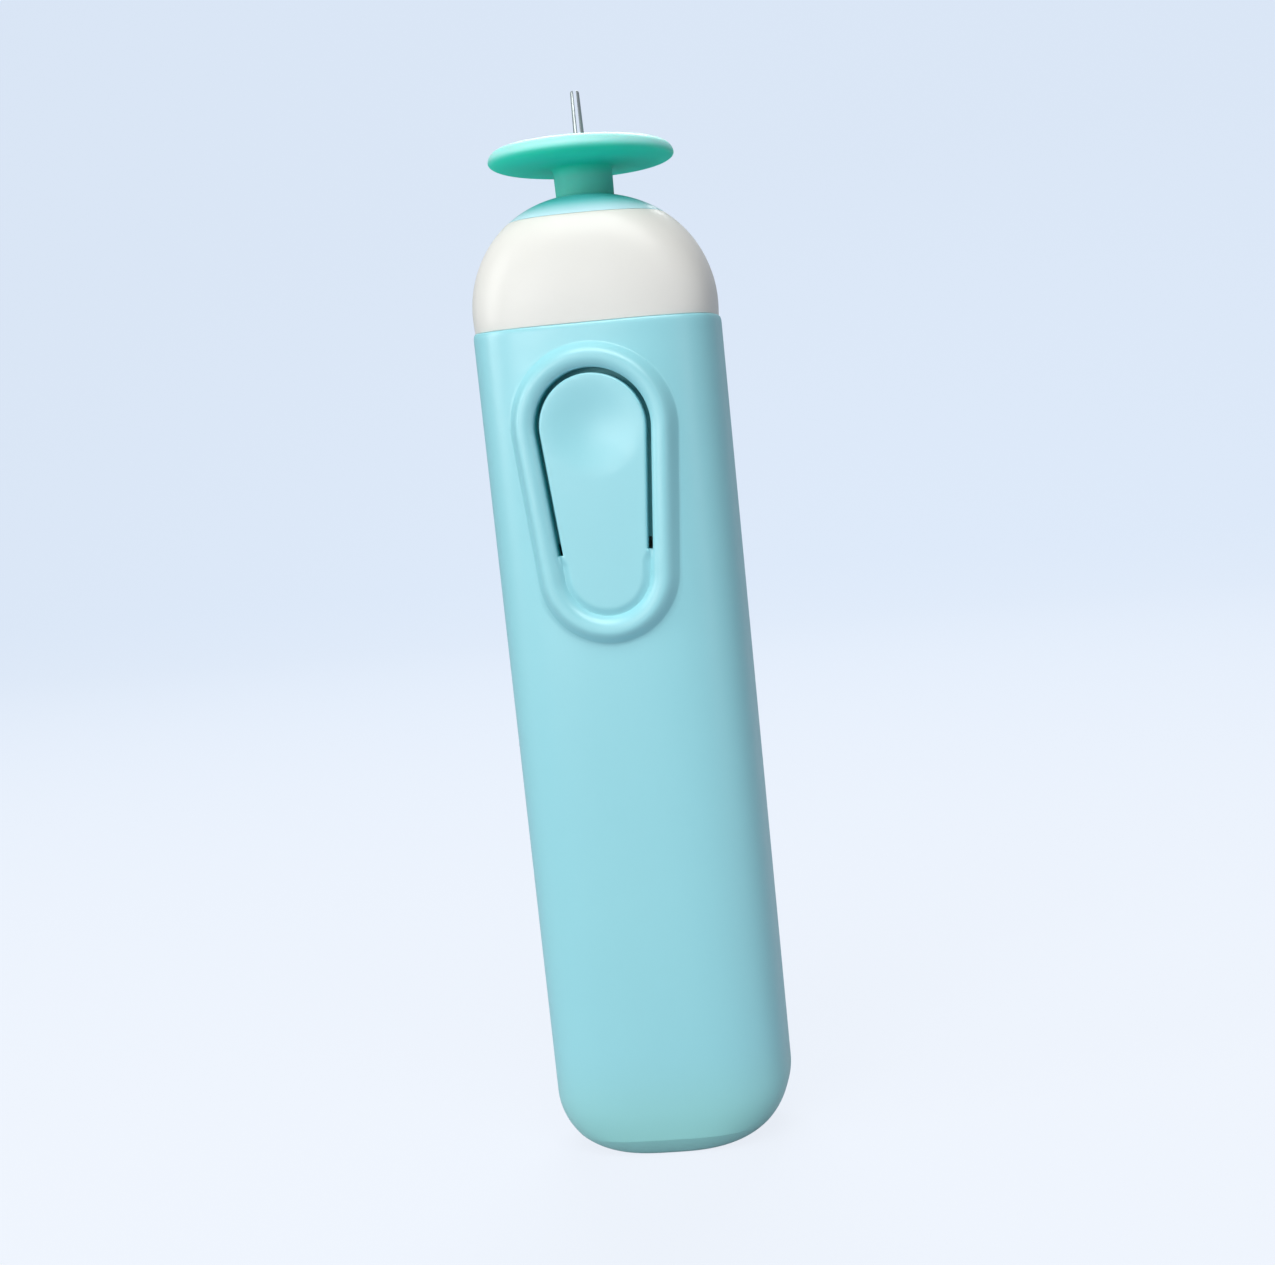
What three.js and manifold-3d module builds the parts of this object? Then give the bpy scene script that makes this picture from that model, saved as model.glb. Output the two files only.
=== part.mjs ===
// A hand-held electric quilling pen, which winds paper strips into coils.
//
// Units are millimetres. +Z runs up the pen's axis from its flat foot to the needle's tip, +X is to
// the right and -Y is the front, where the button is. The sleeve is one moulding, open at the top.
// The white cap carries everything inside on one chassis frame: two AA cells, the motor, a two-stage
// gear train and the switch. That chassis pulls up out of the sleeve to change the cells.

import * as THREE from 'three';
import { mergeVertices } from 'three/addons/utils/BufferGeometryUtils.js';
import Module from 'manifold-3d';

const wasm = await Module();
wasm.setup();

// ---------------------------------------------------------------------------------------------
// Driving dimensions
// ---------------------------------------------------------------------------------------------

// AA cells, side by side, one with its nub up and one with its nub down
const cellDiameter = 14.2;
const cellLength = 50.2;
const cellNubDiameter = 5.4;
const cellNubHeight = 1.0;
const cellBevel = 0.4;
const cellSpacing = 0.1;

// Sleeve
const wall = 1.5;
const floorThickness = 2.0;
const cellSideRoom = 0.5;
const cradleThickness = 1.4;
const runGap = 0.3;
const draftWidth = 0.25;
const draftDepth = 0.15;
const sectionExponent = 3.2;
const footCorner = 8.6;
const footEase = 0.55;
const footEaseRise = 7.0;
const footEdge = 1.7;
const footEdgeRise = 2.0;
const rimRounding = 0.4;

// Button: a tongue whose outline is two arcs and their tangents, inside a raised bead
const buttonDrop = 13.6;
const buttonSpan = 19.2;
const buttonTopRadius = 7.42;
const buttonFootRadius = 5.77;
const slotWidth = 0.65;
const hingeRise = 2.8;
const hingeGap = 0.3;
const padHeight = 0.5;
const buttonThickness = 1.2;
const beadWidth = 3.4;
const beadHeight = 1.2;
const dimpleRadius = 5.8;
const dimpleDepth = 0.5;
const plungerRise = 6.8;
const plungerRadius = 1.4;
const plungerGap = 0.3;

// Cap and nose
const seamGap = 0.1;
const capSetback = 0.05;
const archLift = 1.0;
const archExponent = 2.2;
const capWall = 1.5;
const capRoofThickness = 1.55;
const capDepthExponent = 3.2;
const noseHeight = 3.2;
const noseSpigotRadius = 5.8;
const noseSpigotDepth = 3.75;
const skirtDepth = 4.6;
const skirtThickness = 1.3;
const skirtGap = 0.2;

// Winding head
const discRadius = 12.42;
const discThickness = 2.4;
const discStandoff = 4.1;
const stemRadius = 3.85;
const stemDraft = 0.1;
const stemRecess = 2.8;
const stemSideGap = 0.45;
const shaftRoof = 2.5;
const needleLength = 7.35;
const needleShankRadius = 0.72;
const needleTipRadius = 0.6;
const needleSlotWidth = 0.5;
const needleSlotDepth = 6.6;
const needleTurn = 6;

// Chassis frame
const trayFootHeight = 3.5;
const trayFootHalfWidth = 6.0;
const trayFootHalfDepth = 4.0;
const endWall = 2.0;
const cradleLip = 3.5;
const cellRoom = 0.25;
const wiringBay = 18.2;
const bayWall = 1.5;
const flangeHeight = 2.0;
const frontWall = 0.7;
const deckThickness = 1.5;
const keywayHalfWidth = 2.2;
const keywayRoom = 0.55;
const windowHalfWidth = 1.5;
const windowHalfHeight = 1.35;
const windowSetIn = 0.6;
const fitGap = 0.1;

// Battery contacts
const contactThickness = 0.3;
const contactHalfDepth = 3.2;
const contactWidth = 7.0;
const tabWidth = 1.4;
const tabHeight = 4.5;
const tabRoom = 0.45;
const springRoom = 3.6;
const springWireRadius = 0.3;
const springRadius = 3.0;
const springTurns = 2.5;
const touchGap = 0.3;

// Motor, a small flat-sided type
const motorDiameter = 15.5;
const motorFlats = 12.0;
const motorLength = 20.0;
const motorCanWall = 0.5;
const motorGap = 0.2;
const motorShaftRadius = 0.75;
const motorBushingRadius = 2.0;
const motorBossRadius = 3.0;
const motorBossHeight = 1.2;
const endBellFlange = 2.2;
const endBellPlug = 1.5;
const airGap = 0.3;
const armatureHubRadius = 2.0;
const poleShoe = 0.7;
const armatureLength = 8.0;
const magnetThickness = 1.95;
const magnetLength = 10.5;
const magnetEdgeRoom = 0.35;
const commutatorRadius = 1.9;
const terminalOffset = 5.0;
const terminalLength = 3.0;
const motorScrewOffset = 4.4;

// Gears
const gearModule = 0.4;
const pinionTeeth = 8;
const wheelTeeth = 24;
const profileShift = 0.35;
const gearAddendum = 0.8;
const gearDedendum = 1.05;
const gearBacklash = 0.08;
const gearSpread = 0.04;
const stageOneRise = 1.5;
const stageOneFace = 2.8;
const stageGap = 0.6;
const stageTwoFace = 3.2;
const coverGap = 1.2;
const coverThickness = 2.0;
const gearPocketGap = 0.5;
const layshaftRadius = 1.0;
const outputShaftRadius = 1.5;
const bushingRadius = 2.6;
const bushingFlange = 0.8;
const runningClearance = 0.06;

// Switch: a fixed contact strip and a springy leaf in front of it
const stripThickness = 0.2;
const contactDimple = 0.25;
const switchGap = 0.3;
const leafRootRise = 3.9;
const tailLength = 3.1;
const tailHalfWidth = 1.0;

// Screws, rivet and leads
const screwRadius = 0.8;
const screwHeadRadius = 1.4;
const screwHeadHeight = 0.9;
const rivetRadius = 0.8;
const leadRadius = 0.55;

// ---------------------------------------------------------------------------------------------
// Stack along Z, from the foot to the needle's tip
// ---------------------------------------------------------------------------------------------

const cellRadius = cellDiameter / 2;
const cellOffset = cellRadius + cellSpacing / 2;
const trayFootZ = floorThickness + runGap;
const lowerWallZ = trayFootZ + trayFootHeight;
const lowerContactZ = lowerWallZ + endWall;
const rightCellZ = lowerContactZ + contactThickness + touchGap;
const leftCellZ = lowerContactZ + contactThickness + springRoom;
const upperContactZ = leftCellZ + cellLength + touchGap;
const upperWallZ = upperContactZ + contactThickness;
const bayZ = upperWallZ + endWall;
const motorZ = bayZ + wiringBay;
const deckZ = motorZ + motorLength;
const gearFloorZ = deckZ + deckThickness;
const stageOneZ = gearFloorZ + stageOneRise;
const stageOneTop = stageOneZ + stageOneFace;
const stageTwoZ = stageOneTop + stageGap;
const stageTwoTop = stageTwoZ + stageTwoFace;
const coverZ = stageTwoTop + coverGap;
const coverTop = coverZ + coverThickness;
const frameShoulderZ = stageOneTop + fitGap * 2;
const skirtZ = frameShoulderZ + runGap;
const seamZ = skirtZ + skirtDepth;

const footHalfWidth = 2 * cellRadius + cellSpacing / 2 + cellSideRoom + wall;
const mouthHalfWidth = footHalfWidth + draftWidth;
const footHalfDepth = cellRadius + cradleThickness + runGap + wall - draftDepth / 2;
const mouthHalfDepth = footHalfDepth + draftDepth;

const capRadius = mouthHalfWidth - capSetback;
const capHalfDepth = mouthHalfDepth - capSetback;
const archZ = seamZ + archLift;
const domeTopZ = archZ + capRadius;
const noseZ = domeTopZ - noseHeight;
const capRoofZ = noseZ - capRoofThickness;
const skirtHalfWidth = mouthHalfWidth - wall - skirtGap;
const skirtHalfDepth = mouthHalfDepth - wall - skirtGap;
const innerSkirtHalfWidth = skirtHalfWidth - skirtThickness;
const innerSkirtHalfDepth = skirtHalfDepth - skirtThickness;
const neckHalfWidth = innerSkirtHalfWidth - runGap;
const neckHalfDepth = innerSkirtHalfDepth - runGap;

const discZ = domeTopZ + discStandoff;
const discTopZ = discZ + discThickness;
const needleTipZ = discTopZ + needleLength;
const stemZ = domeTopZ - stemRecess;
const shaftTopZ = discTopZ - shaftRoof;

const buttonTopZ = seamZ - buttonDrop;
const buttonFootZ = buttonTopZ - buttonSpan;
const hingeZ = buttonFootZ + hingeRise;
const plungerZ = hingeZ + plungerRise;
const padY = -(mouthHalfDepth + padHeight);
const tongueBackY = padY + buttonThickness;
const beadY = -(mouthHalfDepth + beadHeight);
const beadRootY = -(mouthHalfDepth - 2 * wall);

const bayHalfWidth = motorDiameter / 2 + motorGap;
const bayFrontY = -(motorFlats / 2 + motorGap);
const pocketY = bayFrontY - frontWall;
const stripY = pocketY - stripThickness;
const leafY = stripY - contactDimple - switchGap;
const plungerTipY = leafY - stripThickness - plungerGap;
const keywayY = plungerTipY + keywayRoom;
const leafRootZ = bayZ + leafRootRise;
const leafTopZ = plungerZ + plungerRadius;
const stripFootZ = motorZ - terminalLength - 0.5;

const shaftSpacing = (gearModule * (pinionTeeth + wheelTeeth)) / 2 + gearSpread;
const wheelTipRadius = gearModule * (wheelTeeth / 2 + gearAddendum - profileShift);
const gearPocketRadius = wheelTipRadius + gearPocketGap;
const coverScrewX = -(gearPocketRadius + neckHalfWidth) / 2;
const coverScrewY = 3.2;

// ---------------------------------------------------------------------------------------------
// Geometry helpers
// ---------------------------------------------------------------------------------------------

// Keeps only positions, merges equal ones and drops triangles that have no area.
function weld(geometry) {
  const bare = geometry.index ? geometry.toNonIndexed() : geometry.clone();
  bare.deleteAttribute('normal');
  bare.deleteAttribute('uv');
  const merged = mergeVertices(bare, 1e-4);
  const kept = [];
  const index = merged.index.array;
  for (let i = 0; i < index.length; i += 3) {
    const [a, b, c] = [index[i], index[i + 1], index[i + 2]];
    if (a !== b && b !== c && c !== a) kept.push(a, b, c);
  }
  merged.setIndex(kept);
  return merged;
}

function solid(geometry) {
  const welded = weld(geometry);
  return new wasm.Manifold(new wasm.Mesh({
    numProp: 3,
    vertProperties: new Float32Array(welded.attributes.position.array),
    triVerts: new Uint32Array(welded.index.array),
  }));
}

function geometryOf(shape) {
  const mesh = shape.getMesh();
  const geometry = new THREE.BufferGeometry();
  geometry.setAttribute('position', new THREE.BufferAttribute(new Float32Array(mesh.vertProperties), 3));
  geometry.setIndex([...mesh.triVerts]);
  return geometry;
}

function join(first, ...others) {
  return others.reduce((sum, geometry) => sum.add(solid(geometry)), first);
}

function cut(first, ...others) {
  return others.reduce((rest, geometry) => rest.subtract(solid(geometry)), first);
}

function box(x0, x1, y0, y1, z0, z1) {
  const geometry = new THREE.BoxGeometry(x1 - x0, y1 - y0, z1 - z0);
  return geometry.translate((x0 + x1) / 2, (y0 + y1) / 2, (z0 + z1) / 2);
}

function rod(radius, z0, z1, x = 0, y = 0, sides = 24) {
  const geometry = new THREE.CylinderGeometry(radius, radius, z1 - z0, sides);
  return geometry.rotateX(Math.PI / 2).translate(x, y, (z0 + z1) / 2);
}

function rodAlongY(radius, y0, y1, x, z, sides = 16) {
  const geometry = new THREE.CylinderGeometry(radius, radius, y1 - y0, sides);
  return geometry.translate(x, (y0 + y1) / 2, z);
}

// A turned shape from [radius, z] points, given from the axis or the bore, bottom to top.
function turned(points, sides = 28) {
  const profile = points.map(([radius, z]) => new THREE.Vector2(radius, z));
  return new THREE.LatheGeometry(profile, sides).rotateX(Math.PI / 2);
}

function tube(outerRadius, boreRadius, z0, z1, sides = 24) {
  return turned([
    [boreRadius, z0], [outerRadius, z0], [outerRadius, z1], [boreRadius, z1], [boreRadius, z0],
  ], sides);
}

// A smooth body from rounded-rectangle sections {z, halfWidth, halfDepth, exponent}, bottom to top.
function loft(sections, sides = 36) {
  const positions = [];
  const index = [];
  for (const { z, halfWidth, halfDepth, exponent = sectionExponent } of sections) {
    for (let i = 0; i < sides; i += 1) {
      const angle = (2 * Math.PI * i) / sides;
      const [c, s] = [Math.cos(angle), Math.sin(angle)];
      positions.push(
        halfWidth * Math.sign(c) * Math.abs(c) ** (2 / exponent),
        halfDepth * Math.sign(s) * Math.abs(s) ** (2 / exponent),
        z,
      );
    }
  }
  for (let k = 0; k < sections.length - 1; k += 1) {
    for (let i = 0; i < sides; i += 1) {
      const a = k * sides + i;
      const b = k * sides + ((i + 1) % sides);
      index.push(a, b, b + sides, a, b + sides, a + sides);
    }
  }
  const top = (sections.length - 1) * sides;
  for (let i = 1; i < sides - 1; i += 1) {
    index.push(0, i + 1, i);
    index.push(top, top + i, top + i + 1);
  }
  const geometry = new THREE.BufferGeometry();
  geometry.setAttribute('position', new THREE.Float32BufferAttribute(positions, 3));
  geometry.setIndex(index);
  return geometry;
}

function prism(shape, z0, z1, curveSegments = 10) {
  const options = { depth: z1 - z0, bevelEnabled: false, curveSegments };
  return new THREE.ExtrudeGeometry(shape, options).translate(0, 0, z0);
}

// Extrudes a shape drawn in X and Z from yBack forward to yFront. A bevel narrows both of its ends.
function frontPrism(shape, yBack, yFront, bevel = 0) {
  const options = {
    depth: yBack - yFront - 2 * bevel,
    curveSegments: 9,
    bevelEnabled: bevel > 0,
    bevelThickness: bevel,
    bevelSize: bevel,
    bevelOffset: -bevel,
    bevelSegments: 1,
  };
  const geometry = new THREE.ExtrudeGeometry(shape, options).rotateX(Math.PI / 2);
  return geometry.translate(0, yBack - bevel, 0);
}

function strip(profile, halfWidth) {
  const shape = new THREE.Shape(profile.map(([y, z]) => new THREE.Vector2(y, z)));
  const geometry = new THREE.ExtrudeGeometry(shape, { depth: 2 * halfWidth, bevelEnabled: false });
  geometry.translate(0, 0, -halfWidth);
  const toWorld = new THREE.Matrix4().set(0, 0, 1, 0, 1, 0, 0, 0, 0, 1, 0, 0, 0, 0, 0, 1);
  return geometry.applyMatrix4(toWorld);
}

function wireAlong(points, radius, steps, sides) {
  const section = new THREE.Shape();
  for (let i = 0; i < sides; i += 1) {
    const angle = (2 * Math.PI * i) / sides;
    const point = [radius * Math.cos(angle), radius * Math.sin(angle)];
    if (i === 0) section.moveTo(...point);
    else section.lineTo(...point);
  }
  const path = new THREE.CatmullRomCurve3(points.map((point) => new THREE.Vector3(...point)));
  return new THREE.ExtrudeGeometry(section, { steps, extrudePath: path, bevelEnabled: false });
}

function finish(name, source, color, roughness, metalness = 0) {
  const geometry = weld(source.getMesh ? geometryOf(source) : source);
  geometry.computeVertexNormals();
  const mesh = new THREE.Mesh(geometry, new THREE.MeshStandardMaterial({ color, roughness, metalness }));
  mesh.name = name;
  return mesh;
}

// ---------------------------------------------------------------------------------------------
// Finishes: colour, roughness, metalness
// ---------------------------------------------------------------------------------------------

const bodyPlastic = [0x9edbe5, 0.35];
const whitePlastic = [0xf1f2ec, 0.3];
const nosePlastic = [0x94dcdd, 0.3];
const headPlastic = [0x1fb59c, 0.3];
const framePlastic = [0x5fb7bd, 0.5];
const nylon = [0xe9e6da, 0.5];
const gearPlastic = [0xf3f3ee, 0.45];
const steel = [0xb8bcbc, 0.3, 1];
const nickel = [0xc6c4bb, 0.3, 1];
const brass = [0xc9a45a, 0.35, 1];
const bronze = [0xa9794a, 0.45, 1];
const copper = [0xb5683a, 0.35, 1];
const ferrite = [0x3a3a3c, 0.8];
const cellCover = [0xd9dde0, 0.35];
const redCover = [0xc0392b, 0.5];
const blackCover = [0x26272a, 0.5];

// ---------------------------------------------------------------------------------------------
// Sleeve and button
// ---------------------------------------------------------------------------------------------

// The sleeve's section at height z, moved inwards by inset. Seen from the front its foot has round
// corners. In depth it eases back gently and then turns under at a rounded edge.
function sleeveSection(z, inset = 0) {
  const rise = z / seamZ;
  const corner = footCorner - inset;
  const below = Math.max(0, footCorner - z);
  const cornerLoss = corner - Math.sqrt(Math.max(0, corner ** 2 - below ** 2));
  const ease = footEase * Math.max(0, 1 - z / footEaseRise) ** 2;
  const drop = inset > 0 ? 0 : Math.max(0, 1 - z / footEdgeRise);
  const edgeLoss = footEdge * (1 - Math.sqrt(1 - drop ** 2));
  return {
    z,
    halfWidth: footHalfWidth + draftWidth * rise - inset - cornerLoss,
    halfDepth: footHalfDepth + draftDepth * rise - inset - ease - edgeLoss,
  };
}

// Two arcs about the button's centres, joined by their tangents, moved outwards by offset.
function keyhole(offset) {
  const lean = Math.asin((buttonTopRadius - buttonFootRadius) / buttonSpan);
  const shape = new THREE.Shape();
  shape.absarc(0, buttonTopZ, buttonTopRadius + offset, -lean, Math.PI + lean, false);
  shape.absarc(0, buttonFootZ, buttonFootRadius + offset, Math.PI + lean, 2 * Math.PI - lean, false);
  return shape;
}

function keyholePart(offset, yBack, yFront, z0, z1) {
  const whole = solid(frontPrism(keyhole(offset), yBack, yFront));
  return geometryOf(whole.intersect(solid(box(-20, 20, yFront - 1, yBack + 1, z0, z1))));
}

function bodySleeve() {
  const footHeights = [0, 0.25, 0.9, footEdgeRise, 3.8, 6.2, footCorner];
  const outer = [...footHeights, seamZ - rimRounding].map((z) => sleeveSection(z));
  outer.push({ ...sleeveSection(seamZ, rimRounding / 2), z: seamZ });
  const inner = [floorThickness, 3, 5, footCorner, seamZ + 1].map((z) => sleeveSection(z, wall));
  const bead = keyhole(slotWidth / 2 + beadWidth);
  bead.holes.push(keyhole(slotWidth / 2));
  const raised = join(
    solid(loft(outer)),
    frontPrism(bead, beadRootY, beadY, beadHeight * 0.7),
    keyholePart(-slotWidth / 2, beadRootY, padY, buttonFootZ - 20, hingeZ - hingeGap),
  );
  const opening = keyholePart(slotWidth / 2, 0, beadY - 1, hingeZ - hingeGap, seamZ);
  return finish('body_sleeve', cut(raised, loft(inner), opening), ...bodyPlastic);
}

function powerButton() {
  const sphereRadius = (dimpleRadius ** 2 + dimpleDepth ** 2) / (2 * dimpleDepth);
  const lens = [[0, 0]];
  for (let i = 1; i <= 4; i += 1) {
    const radius = (dimpleRadius * i) / 4;
    lens.push([radius, sphereRadius - Math.sqrt(sphereRadius ** 2 - radius ** 2)]);
  }
  lens.push([dimpleRadius, dimpleDepth + 1], [0, dimpleDepth + 1]);
  const bowl = turned(lens, 20).rotateX(Math.PI / 2).translate(0, padY + dimpleDepth, buttonTopZ);
  const tongue = solid(keyholePart(-slotWidth / 2, tongueBackY, padY, hingeZ, seamZ));
  const plunger = rodAlongY(plungerRadius, tongueBackY - 0.2, plungerTipY, 0, plungerZ);
  return finish('power_button', join(cut(tongue, bowl), plunger), ...bodyPlastic);
}

// ---------------------------------------------------------------------------------------------
// Cap and nose
// ---------------------------------------------------------------------------------------------

// The cap's section at height z: a full arch in front view, at full depth until near its top.
function capSection(z, inset = 0) {
  const radius = capRadius - inset;
  const height = Math.max(0, z - archZ);
  const share = Math.min(1, height / radius);
  return {
    z,
    halfWidth: radius * (1 - share ** archExponent) ** (1 / archExponent),
    halfDepth: (capHalfDepth - inset) * (1 - share ** capDepthExponent) ** (1 / capDepthExponent),
    exponent: sectionExponent - 0.9 * share,
  };
}

function between(z0, z1, count) {
  return Array.from({ length: count + 1 }, (_, i) => z0 + ((z1 - z0) * i) / count);
}

function shoulderCap() {
  const skirt = [skirtZ, seamZ + 0.8].map((z) => ({
    z, halfWidth: skirtHalfWidth, halfDepth: skirtHalfDepth,
  }));
  const shoulder = [seamZ + seamGap, ...between(archZ, noseZ, 6)].map((z) => capSection(z));
  const hollow = [skirtZ - 1, seamZ + 0.4].map((z) => ({
    z, halfWidth: innerSkirtHalfWidth, halfDepth: innerSkirtHalfDepth,
  }));
  hollow.push(...between(coverTop - 0.6, capRoofZ, 4).map((z) => capSection(z, capWall)));
  const body = join(solid(loft(shoulder)), loft(skirt));
  const mouth = rod(noseSpigotRadius + runGap, capRoofZ - 1, noseZ + 1, 0, 0, 28);
  return finish('shoulder_cap', cut(body, loft(hollow), mouth), ...whitePlastic);
}

function noseDome() {
  const dome = between(noseZ + seamGap, domeTopZ - 0.05, 5).map((z) => capSection(z));
  const spigotZ = noseZ - noseSpigotDepth;
  const body = join(solid(loft(dome)), rod(noseSpigotRadius, spigotZ, noseZ + 0.5, 0, 0, 28));
  const recess = rod(stemRadius + stemSideGap, noseZ, domeTopZ + 1, 0, 0, 28);
  const bore = rod(bushingRadius + fitGap, spigotZ - 1, noseZ + 1);
  return finish('nose_dome', cut(body, recess, bore), ...nosePlastic);
}

function noseBushing() {
  const z0 = noseZ - noseSpigotDepth + runGap;
  const bushing = tube(bushingRadius, outputShaftRadius + runningClearance, z0, noseZ - fitGap);
  return finish('nose_bushing', bushing, ...bronze);
}

// ---------------------------------------------------------------------------------------------
// Winding head
// ---------------------------------------------------------------------------------------------

function windingDisc() {
  const bore = outputShaftRadius + fitGap;
  const needleBore = needleShankRadius + fitGap;
  const middle = discZ + discThickness / 2;
  const disc = turned([
    [bore, stemZ],
    [stemRadius, stemZ],
    [stemRadius + stemDraft, discZ - 1.3],
    [stemRadius + 0.4, discZ - 0.8],
    [stemRadius + 1.1, discZ - 0.5],
    [discRadius - 1.6, discZ - 0.05],
    [discRadius - 0.6, discZ + 0.2],
    [discRadius - 0.1, middle - 0.4],
    [discRadius, middle],
    [discRadius - 0.1, middle + 0.4],
    [discRadius - 0.6, discTopZ - 0.2],
    [discRadius - 1.6, discTopZ],
    [needleBore, discTopZ],
    [needleBore, shaftTopZ + fitGap],
    [bore, shaftTopZ + fitGap],
    [bore, stemZ],
  ], 36);
  return finish('winding_disc', disc, ...headPlastic);
}

function slottedNeedle() {
  const rootZ = shaftTopZ + 2 * fitGap;
  const pin = turned([
    [0, rootZ], [needleShankRadius, rootZ], [needleShankRadius, discTopZ + 0.5],
    [needleTipRadius, needleTipZ - 0.1], [needleTipRadius - 0.1, needleTipZ], [0, needleTipZ],
  ], 16);
  const slot = box(
    -needleSlotWidth / 2, needleSlotWidth / 2, -2, 2, needleTipZ - needleSlotDepth, needleTipZ + 1,
  );
  const needle = finish('slotted_needle', cut(solid(pin), slot), ...steel);
  needle.rotation.z = THREE.MathUtils.degToRad(needleTurn);
  return needle;
}

// ---------------------------------------------------------------------------------------------
// Gear train: motor pinion, compound gear on the layshaft, output gear
// ---------------------------------------------------------------------------------------------

// A spur gear's outline with involute flanks. Shift moves the teeth out (pinion) or in (wheel).
function gearShape(teeth, shift) {
  const pressure = THREE.MathUtils.degToRad(20);
  const involute = (angle) => Math.tan(angle) - angle;
  const pitchRadius = (gearModule * teeth) / 2;
  const baseRadius = pitchRadius * Math.cos(pressure);
  const tipRadius = gearModule * (teeth / 2 + gearAddendum + shift);
  const rootRadius = gearModule * (teeth / 2 - gearDedendum + shift);
  const thickness = gearModule * (Math.PI / 2 + 2 * shift * Math.tan(pressure)) - gearBacklash;
  const halfAngle = (radius) => {
    const slope = Math.acos(Math.min(1, baseRadius / radius));
    return thickness / (2 * pitchRadius) + involute(pressure) - involute(slope);
  };
  const flank = between(Math.max(baseRadius, rootRadius), tipRadius, 2)
    .map((radius) => [radius, halfAngle(radius)]);
  if (baseRadius > rootRadius) flank.unshift([rootRadius, halfAngle(baseRadius)]);
  const points = [];
  for (let tooth = 0; tooth < teeth; tooth += 1) {
    const centre = (2 * Math.PI * tooth) / teeth;
    const rising = flank.map(([radius, angle]) => [radius, centre - angle]);
    const falling = [...flank].reverse().map(([radius, angle]) => [radius, centre + angle]);
    points.push(...rising, ...falling);
  }
  return new THREE.Shape(points.map(([radius, angle]) => (
    new THREE.Vector2(radius * Math.cos(angle), radius * Math.sin(angle))
  )));
}

function gear(teeth, shift, boreRadius, z0, z1) {
  return cut(solid(prism(gearShape(teeth, shift), z0, z1)), rod(boreRadius, z0 - 1, z1 + 1, 0, 0, 16));
}

function motorPinion() {
  const pinion = gear(pinionTeeth, profileShift, motorShaftRadius + fitGap, stageOneZ, stageOneTop);
  return finish('motor_pinion', pinion, ...brass);
}

// The wheel meshes with the motor pinion below, and the small pinion above drives the output gear.
function compoundGear() {
  const bore = layshaftRadius + runningClearance;
  const wheel = solid(prism(gearShape(wheelTeeth, -profileShift), stageOneZ, stageOneTop)
    .rotateZ(Math.PI / wheelTeeth));
  const both = join(wheel, prism(gearShape(pinionTeeth, profileShift), stageOneTop - 0.2, stageTwoTop));
  return finish('compound_gear', cut(both, rod(bore, stageOneZ - 1, stageTwoTop + 1)), ...gearPlastic);
}

function outputGear() {
  const wheel = gear(wheelTeeth, -profileShift, outputShaftRadius + fitGap, stageTwoZ, stageTwoTop);
  const mesh = finish('output_gear', wheel, ...gearPlastic);
  mesh.rotation.z = Math.PI / wheelTeeth;
  return mesh;
}

function outputShaft() {
  return finish('output_shaft', rod(outputShaftRadius, stageTwoZ - fitGap, shaftTopZ), ...steel);
}

function layshaftPin() {
  const z0 = deckZ + 0.4;
  return finish('layshaft_pin', rod(layshaftRadius, z0, coverZ + 1.2, shaftSpacing, 0), ...steel);
}

// ---------------------------------------------------------------------------------------------
// Chassis frame and gearbox cover
// ---------------------------------------------------------------------------------------------

function frameEnvelope() {
  const inset = wall + runGap;
  const heights = [lowerWallZ, lowerContactZ, footCorner + 2, frameShoulderZ];
  const lower = loft(heights.map((z) => sleeveSection(z, inset)));
  const neck = loft([frameShoulderZ - 1, coverZ].map((z) => ({
    z, halfWidth: neckHalfWidth, halfDepth: neckHalfDepth,
  })));
  const foot = box(
    -trayFootHalfWidth, trayFootHalfWidth, -trayFootHalfDepth, trayFootHalfDepth,
    trayFootZ, lowerWallZ + 0.5,
  );
  return join(solid(lower), neck, foot);
}

function batteryBayCuts() {
  const reach = footHalfWidth;
  const radius = cellRadius + cellRoom;
  return [
    box(-reach, reach, -reach, cradleLip, lowerContactZ, upperWallZ),
    rod(radius, lowerContactZ, upperWallZ, -cellOffset, 0, 28),
    rod(radius, lowerContactZ, upperWallZ, cellOffset, 0, 28),
  ];
}

// The contacts' tabs stand just inside the motor bay's side walls.
function tabX(side) {
  return side * (bayHalfWidth - tabWidth / 2 - tabRoom);
}

function motorBayCuts() {
  const reach = footHalfWidth;
  const side = bayHalfWidth + bayWall;
  const cuts = [
    box(-bayHalfWidth, bayHalfWidth, bayFrontY, reach, bayZ, deckZ),
    rod(motorBossRadius + fitGap, deckZ - 1, gearFloorZ + 1, 0, 0, 28),
    rod(layshaftRadius + fitGap, deckZ + 0.3, gearFloorZ + 1, shaftSpacing, 0, 16),
  ];
  for (const hand of [-1, 1]) {
    const near = Math.min(hand * side, hand * reach);
    const far = Math.max(hand * side, hand * reach);
    cuts.push(
      box(near, far, -reach, reach, bayZ + flangeHeight, motorZ - flangeHeight / 2),
      box(near, far, -reach, reach, motorZ + flangeHeight / 2, deckZ - flangeHeight / 2),
      rod(screwRadius + fitGap, deckZ - 1, gearFloorZ + 1, 0, hand * motorScrewOffset, 12),
      rod(screwHeadRadius + touchGap, gearFloorZ, stageOneZ, 0, hand * motorScrewOffset, 16),
      box(tabX(hand) - tabWidth / 2 - fitGap, tabX(hand) + tabWidth / 2 + fitGap,
        contactHalfDepth - contactThickness - fitGap, contactHalfDepth + fitGap,
        upperWallZ - 1, bayZ + 1),
    );
  }
  return cuts;
}

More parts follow.
